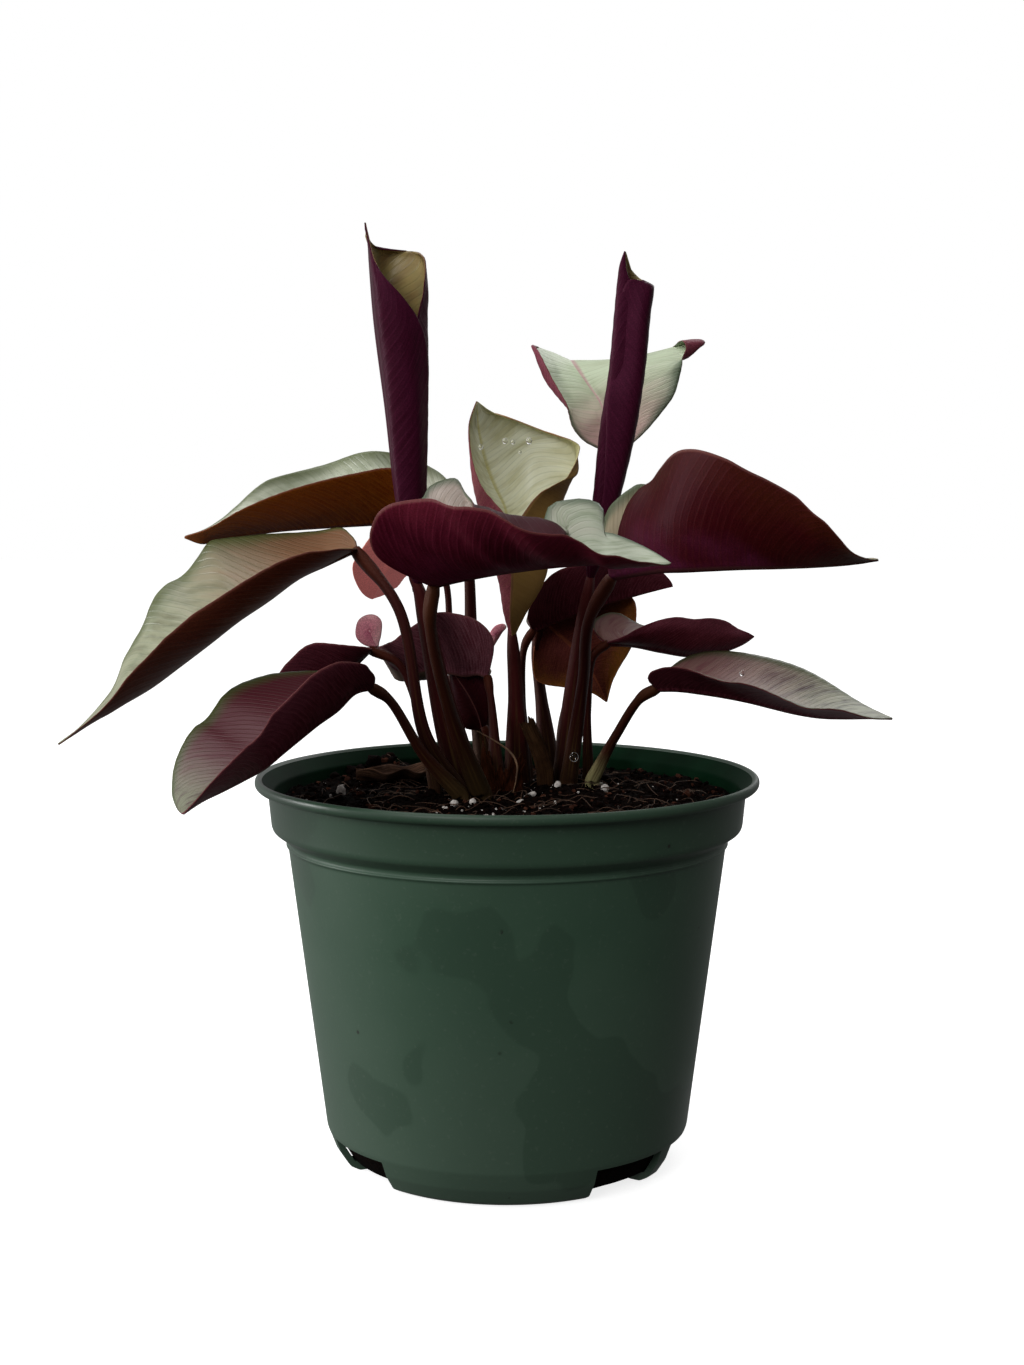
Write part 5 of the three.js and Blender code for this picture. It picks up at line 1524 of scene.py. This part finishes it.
# Silver faces
MINT = upperside("upper_mint", (0.44, 0.46, 0.36), (0.26, 0.28, 0.19), margin=(0.07, 0.09, 0.025))
# Silver of the big left leaf: a darker copy of the mint, as painted shade, with a brown tint that fades out
# along the leaf.
SHADED_BROWN_MINT = upperside("upper_brown_mint_shaded", (0.29, 0.3, 0.2), (0.14, 0.14, 0.08), seen(84, 50, 30), 0.85,
                       (0.15, 0.6), margin=(0.07, 0.09, 0.025))
PINK_MINT = upperside("upper_pink", (0.5, 0.58, 0.4), (0.42, 0.47, 0.31), (0.58, 0.26, 0.3), 0.7,
                      (0.1, 0.6), rib_colour=(0.5, 0.24, 0.27))
LOBES = upperside("upper_lobes", (0.38, 0.41, 0.32), (0.2, 0.24, 0.15), (0.34, 0.16, 0.18), 0.45,
                  (0.5, 0.75))
GREY = upperside("upper_grey", (0.25, 0.26, 0.18), (0.03, 0.015, 0.015), seen(92, 48, 52), 0.75,
                 (0.2, 0.85), margin=(0.05, 0.07, 0.02))
TAN = upperside("upper_tan", (0.34, 0.28, 0.18), (0.24, 0.19, 0.11), roughness=0.5, green=0.1)
DARK_GREY = upperside("upper_dark", (0.2, 0.21, 0.14), (0.09, 0.06, 0.05), seen(56, 20, 26), 1.0,
                      (0.62, 0.95), margin=(0.05, 0.07, 0.02), green=0.1)
# Inside of the funnel: its near white centre is painted highlight, and its cream and olive tones paint the
# light that shines through the thin blade.
CREAM_PAINTED_LIGHT = upperside("upper_cream_painted_light", (0.86, 0.87, 0.7), (0.6, 0.58, 0.36), margin=(0.4, 0.36, 0.12),
                  green=0.05, rib_colour=(0.6, 0.55, 0.2), margin_start=0.25)
OLIVE_TOP = upperside("upper_olive", (0.32, 0.24, 0.09), (0.2, 0.12, 0.05), margin=(0.2, 0.1, 0.05))

LOOKS = {
    "big_right": (DEEP_AND_SHEEN, TAN), "front_curl": (WINE, LOBES), "upper_left": (OLIVE, MINT),
    "big_left": (BROWN, SHADED_BROWN_MINT), "low_left": (PLUM, DARK_GREY), "behind_low_left": (PLUM, GREY),
    "mid_right": (PLUM, GREY), "low_right": (PLUM, GREY), "dark_right": (PLUM, DARK_GREY),
    "hanging_back": (RUST, RUST), "centre_left": (DUSKY, DUSKY), "red_back": (PINK_BACKLIT, GREY),
    "low_back": (NIGHT, NIGHT), "back_upright": (PLUM, PINK_MINT),
    "tall_left": (ROLL_WINE, OLIVE_TOP), "tall_right": (ROLL_WINE, OLIVE_TOP),
    "funnel": (FUNNEL, CREAM_PAINTED_LIGHT),
}

STEM = stalk_material("stalk_brown", seen(34, 20, 12), seen(36, 9, 9), seen(48, 18, 10))
STEM_RED = stalk_material("stalk_red", seen(26, 11, 8), seen(46, 12, 13), seen(50, 14, 18))
STEM_GREEN = stalk_material("stalk_green", seen(40, 30, 16), seen(34, 12, 7), seen(44, 20, 9))
STEM_PALE = stalk_material("stalk_pale_foot", seen(118, 112, 78), seen(40, 15, 9), seen(46, 22, 10))
STALKS = {
    "tall_left": STEM_RED, "tall_right": STEM_RED, "funnel": STEM_RED, "low_right": STEM_PALE,
    "front_curl": STEM_GREEN, "low_left": STEM_GREEN,
}

build_pot()
build_soil()
build_litter()
brown_fibre = plain_material("fibre_brown", (0.03, 0.014, 0.008), (0.09, 0.045, 0.025), 300.0, 0.8)
pale_fibre = plain_material("fibre_pale", (0.05, 0.03, 0.018), (0.11, 0.07, 0.045), 300.0, 0.7)
fibres("coir_fibres", 240, 41, 4, 15, 0.14, brown_fibre, "soil")
fibres("root_threads", 11, 43, 8, 22, 0.12, pale_fibre, "dry_leaf", 0.8)
build_stub()
build_sheath()
build_dried_leaf()

for name, part in LEAVES.items():
    under, upper = LOOKS[name]
    spread_blade(name, part, under, upper)
    end = rib_point(part, np.array([0.012]))[0]
    petiole(name, part, end, STALKS.get(name, STEM))

for name, part in ROLLED.items():
    under, upper = LOOKS[name]
    spread_blade(name, OPENING[name], under, upper)
    knee, middle = np.array(part["knee"], float), np.array(part["middle"], float)
    lean = (middle - knee) / np.linalg.norm(middle - knee)
    along_rib = rib_point(OPENING[name], np.array([0.05, 0.12, 0.2]))
    petiole(name, part, knee + lean * ROLL_SEAT, STALKS.get(name, STEM), along_rib)


LOBE_ROWS = 9
LOBE_DOME = 1.5


def small_lobe(name, pixels, depth, material, node):
    """A thin domed lobe whose outline is given as photo pixels round it."""
    ring = np.array([photo_point(px, py, depth) for px, py in pixels])
    ring = catmull_loop(ring, 6)
    centre = ring.mean(0)
    share = np.linspace(1, 0.02, LOBE_ROWS)[:, None, None]
    middle = centre + (ring[None] - centre) * share
    middle[..., 1] -= LOBE_DOME * (1 - share[..., 0] ** 2)
    middle = np.concatenate([middle, middle[:, :1]], 1)
    row, column = unit_grid(*middle.shape[:2])
    uv = np.stack([column, (2 - row) / 2 * 0.9], -1).reshape(-1, 2)
    thick = np.full(row.shape, BLADE_THICKNESS / 2)
    piece = sheet(name, middle, thick, thick, uv, [material, material])
    return settle(piece, slot_of(node))


def catmull_loop(points, steps):
    """A smooth closed line through the points."""
    made = []
    count = len(points)
    for i in range(count):
        a, b, c, d = (points[(i + k) % count] for k in (-1, 0, 1, 2))
        for t in np.linspace(0, 1, steps, endpoint=False):
            made.append(0.5 * (2 * b + (c - a) * t + (2 * a - 5 * b + 4 * c - d) * t ** 2
                               + (3 * b - a - 3 * c + d) * t ** 3))
    return np.array(made)


# Water in the photo: drops as pixel x, pixel y, depth y and radius, and a streak without the radius
DROPS = [
    (505, 441, 9, 0.9), (513, 442, 9, 0.7), (529, 441, 8, 1.0), (481, 447, 6, 0.8), (520, 452, 8, 0.5),
    (574, 757, 17, 1.5), (576, 745, 17.5, 0.9), (742, 673, -6, 0.9),
]
WET_STREAK = [[590, 628, 22], [587, 661, 21], [583, 695, 19], [579, 728, 18], [577, 742, 17.5]]
STREAK_RADIUS = 0.42


def build_water():
    """Drops on the leaves and the wet streak down one stalk."""
    ball = subdivided(*subdivided(*icosahedron()))
    points, faces = [], []
    for px, py, depth, size in DROPS:
        centre = photo_point(px, py, depth)
        body = np.array(ball[0]) / np.linalg.norm(ball[0], axis=1)[:, None] * size
        body = body * [1, 0.6, 1.1] + centre
        faces += [[c + len(points) for c in face] for face in ball[1]]
        points += body.tolist()
    streak = [photo_point(px, py, depth) for px, py, depth in WET_STREAK]
    one, one_faces = tube(spaced(streak, 40), STREAK_RADIUS * np.sin(np.linspace(0.15, 3, 41)) + 0.05, 8)
    faces += [[c + len(points) for c in face] for face in one_faces]
    points += one.tolist()
    return settle(make_piece("water_drops", points, faces, [water_material()]), slot_of("blade_funnel"))


DRY_THREAD = [[477, 731, 4], [495, 741, 3], [511, 753, 1], [517, 765, -1], [516, 780, -2], [513, 793, -3]]


def build_dry_thread():
    """The thin torn fibre that leans across the dry sheath."""
    path = [photo_point(px, py, depth) for px, py, depth in DRY_THREAD]
    points, faces = tube(spaced(path, 40), 0.15 + 0.2 * np.sin(np.linspace(0, 3.1, 41)) ** 2, 8)
    material = plain_material("dry_thread", (0.06, 0.03, 0.015), (0.16, 0.09, 0.045), 300.0, 0.7)
    return settle(make_piece("dry_thread", points, faces, [material]), "dry_leaf")


# Lights, in metres: where each stands, what it points at, its size and its power in watts
LIGHTS = {
    "key": ((-0.45, 0.25, 1.2), (0, 0, 0.15), 0.9, 5),
    "back": ((0.5, 0.9, 0.8), (0, 0, 0.18), 0.8, 3),
    "fill": ((-0.7, -1.4, 0.9), (0, 0, 0.16), 0.9, 13),
    "side": ((-1.5, 0.1, 0.3), (0, 0, 0.08), 0.5, 12),
}
FLOOR_HALF_SIDE = 4000
FLOOR_HEIGHT = -0.05


def add_area(name, place, target, size, power):
    data = bpy.data.lights.new(name, "AREA")
    data.shape = "DISK"
    data.size = size
    data.energy = power
    light = bpy.data.objects.new(name, data)
    light.location = place
    light.rotation_euler = (Vector(target) - Vector(place)).to_track_quat("-Z", "Y").to_euler()
    bpy.context.scene.collection.objects.link(light)


def build_stage():
    corners = [[x * FLOOR_HALF_SIDE, y * FLOOR_HALF_SIDE, FLOOR_HEIGHT]
               for x, y in ((-1, -1), (1, -1), (1, 1), (-1, 1))]
    g = Graph("floor_white")
    g.shader.inputs["Emission Color"].default_value = (1, 1, 1, 1)
    material = g.done((0.6, 0.6, 0.6), 0.8, None, 0.1, Emission_Strength=0.8)
    floor = make_piece("floor", corners, [[0, 1, 2, 3]], [material])
    floor.visible_diffuse = False
    floor.visible_glossy = False
    world = bpy.data.worlds.new("studio")
    world.use_nodes = True
    tree = world.node_tree
    tree.nodes.clear()
    output = tree.nodes.new("ShaderNodeOutputWorld")
    place = tree.nodes.new("ShaderNodeTexCoord")
    slope = tree.nodes.new("ShaderNodeVectorMath")
    slope.operation = "DOT_PRODUCT"
    slope.inputs[1].default_value = (-0.35, 0.35, 0.87)
    tree.links.new(place.outputs["Generated"], slope.inputs[0])
    ramp = tree.nodes.new("ShaderNodeMapRange")
    for index, given in ((1, -0.5), (2, 0.9), (3, 0.1), (4, 0.75)):
        ramp.inputs[index].default_value = given
    tree.links.new(slope.outputs["Value"], ramp.inputs[0])
    light = tree.nodes.new("ShaderNodeBackground")
    tree.links.new(ramp.outputs[0], light.inputs[1])
    backdrop = tree.nodes.new("ShaderNodeBackground")
    backdrop.inputs[0].default_value = (1, 1, 1, 1)
    backdrop.inputs[1].default_value = 1.0
    path = tree.nodes.new("ShaderNodeLightPath")
    blend = tree.nodes.new("ShaderNodeMixShader")
    tree.links.new(path.outputs["Is Camera Ray"], blend.inputs[0])
    tree.links.new(light.outputs[0], blend.inputs[1])
    tree.links.new(backdrop.outputs[0], blend.inputs[2])
    tree.links.new(blend.outputs[0], output.inputs[0])
    bpy.context.scene.world = world
    for name, light_values in LIGHTS.items():
        add_area(name, *light_values)
    bpy.context.scene.view_settings.view_transform = "Standard"
    bpy.context.scene.view_settings.look = "None"


def build_camera():
    data = bpy.data.cameras.new("camera")
    data.sensor_width = SENSOR
    data.sensor_fit = "AUTO"
    data.lens = FOCAL_PIXELS * SENSOR / PHOTO_HEIGHT
    camera = bpy.data.objects.new("camera", data)
    camera.location = (CAMERA_SIDE * MM, -CAMERA_DISTANCE * MM, CAMERA_HEIGHT * MM)
    camera.rotation_euler = (math.radians(90 - CAMERA_PITCH), 0, 0)
    bpy.context.scene.collection.objects.link(camera)
    bpy.context.scene.camera = camera


# Two small pink lobes: the photo pixels round each, and its depth y
LOBE_OUTLINES = {
    "pink_lobe": (6, [[377, 647], [365, 645], [357, 638], [356, 629], [359, 620], [367, 615],
                      [376, 615.5], [381.5, 622], [381, 634], [379, 642]]),
    "pink_lobe_back": (28, [[489, 640], [491, 632], [496, 626], [503, 624], [506, 627], [502, 632],
                            [497, 640], [492, 647]]),
}
for name, (depth, pixels) in LOBE_OUTLINES.items():
    small_lobe(name, pixels, depth, BLUSH, "blade_low_left")
build_dry_thread()
build_water()
build_stage()
build_camera()
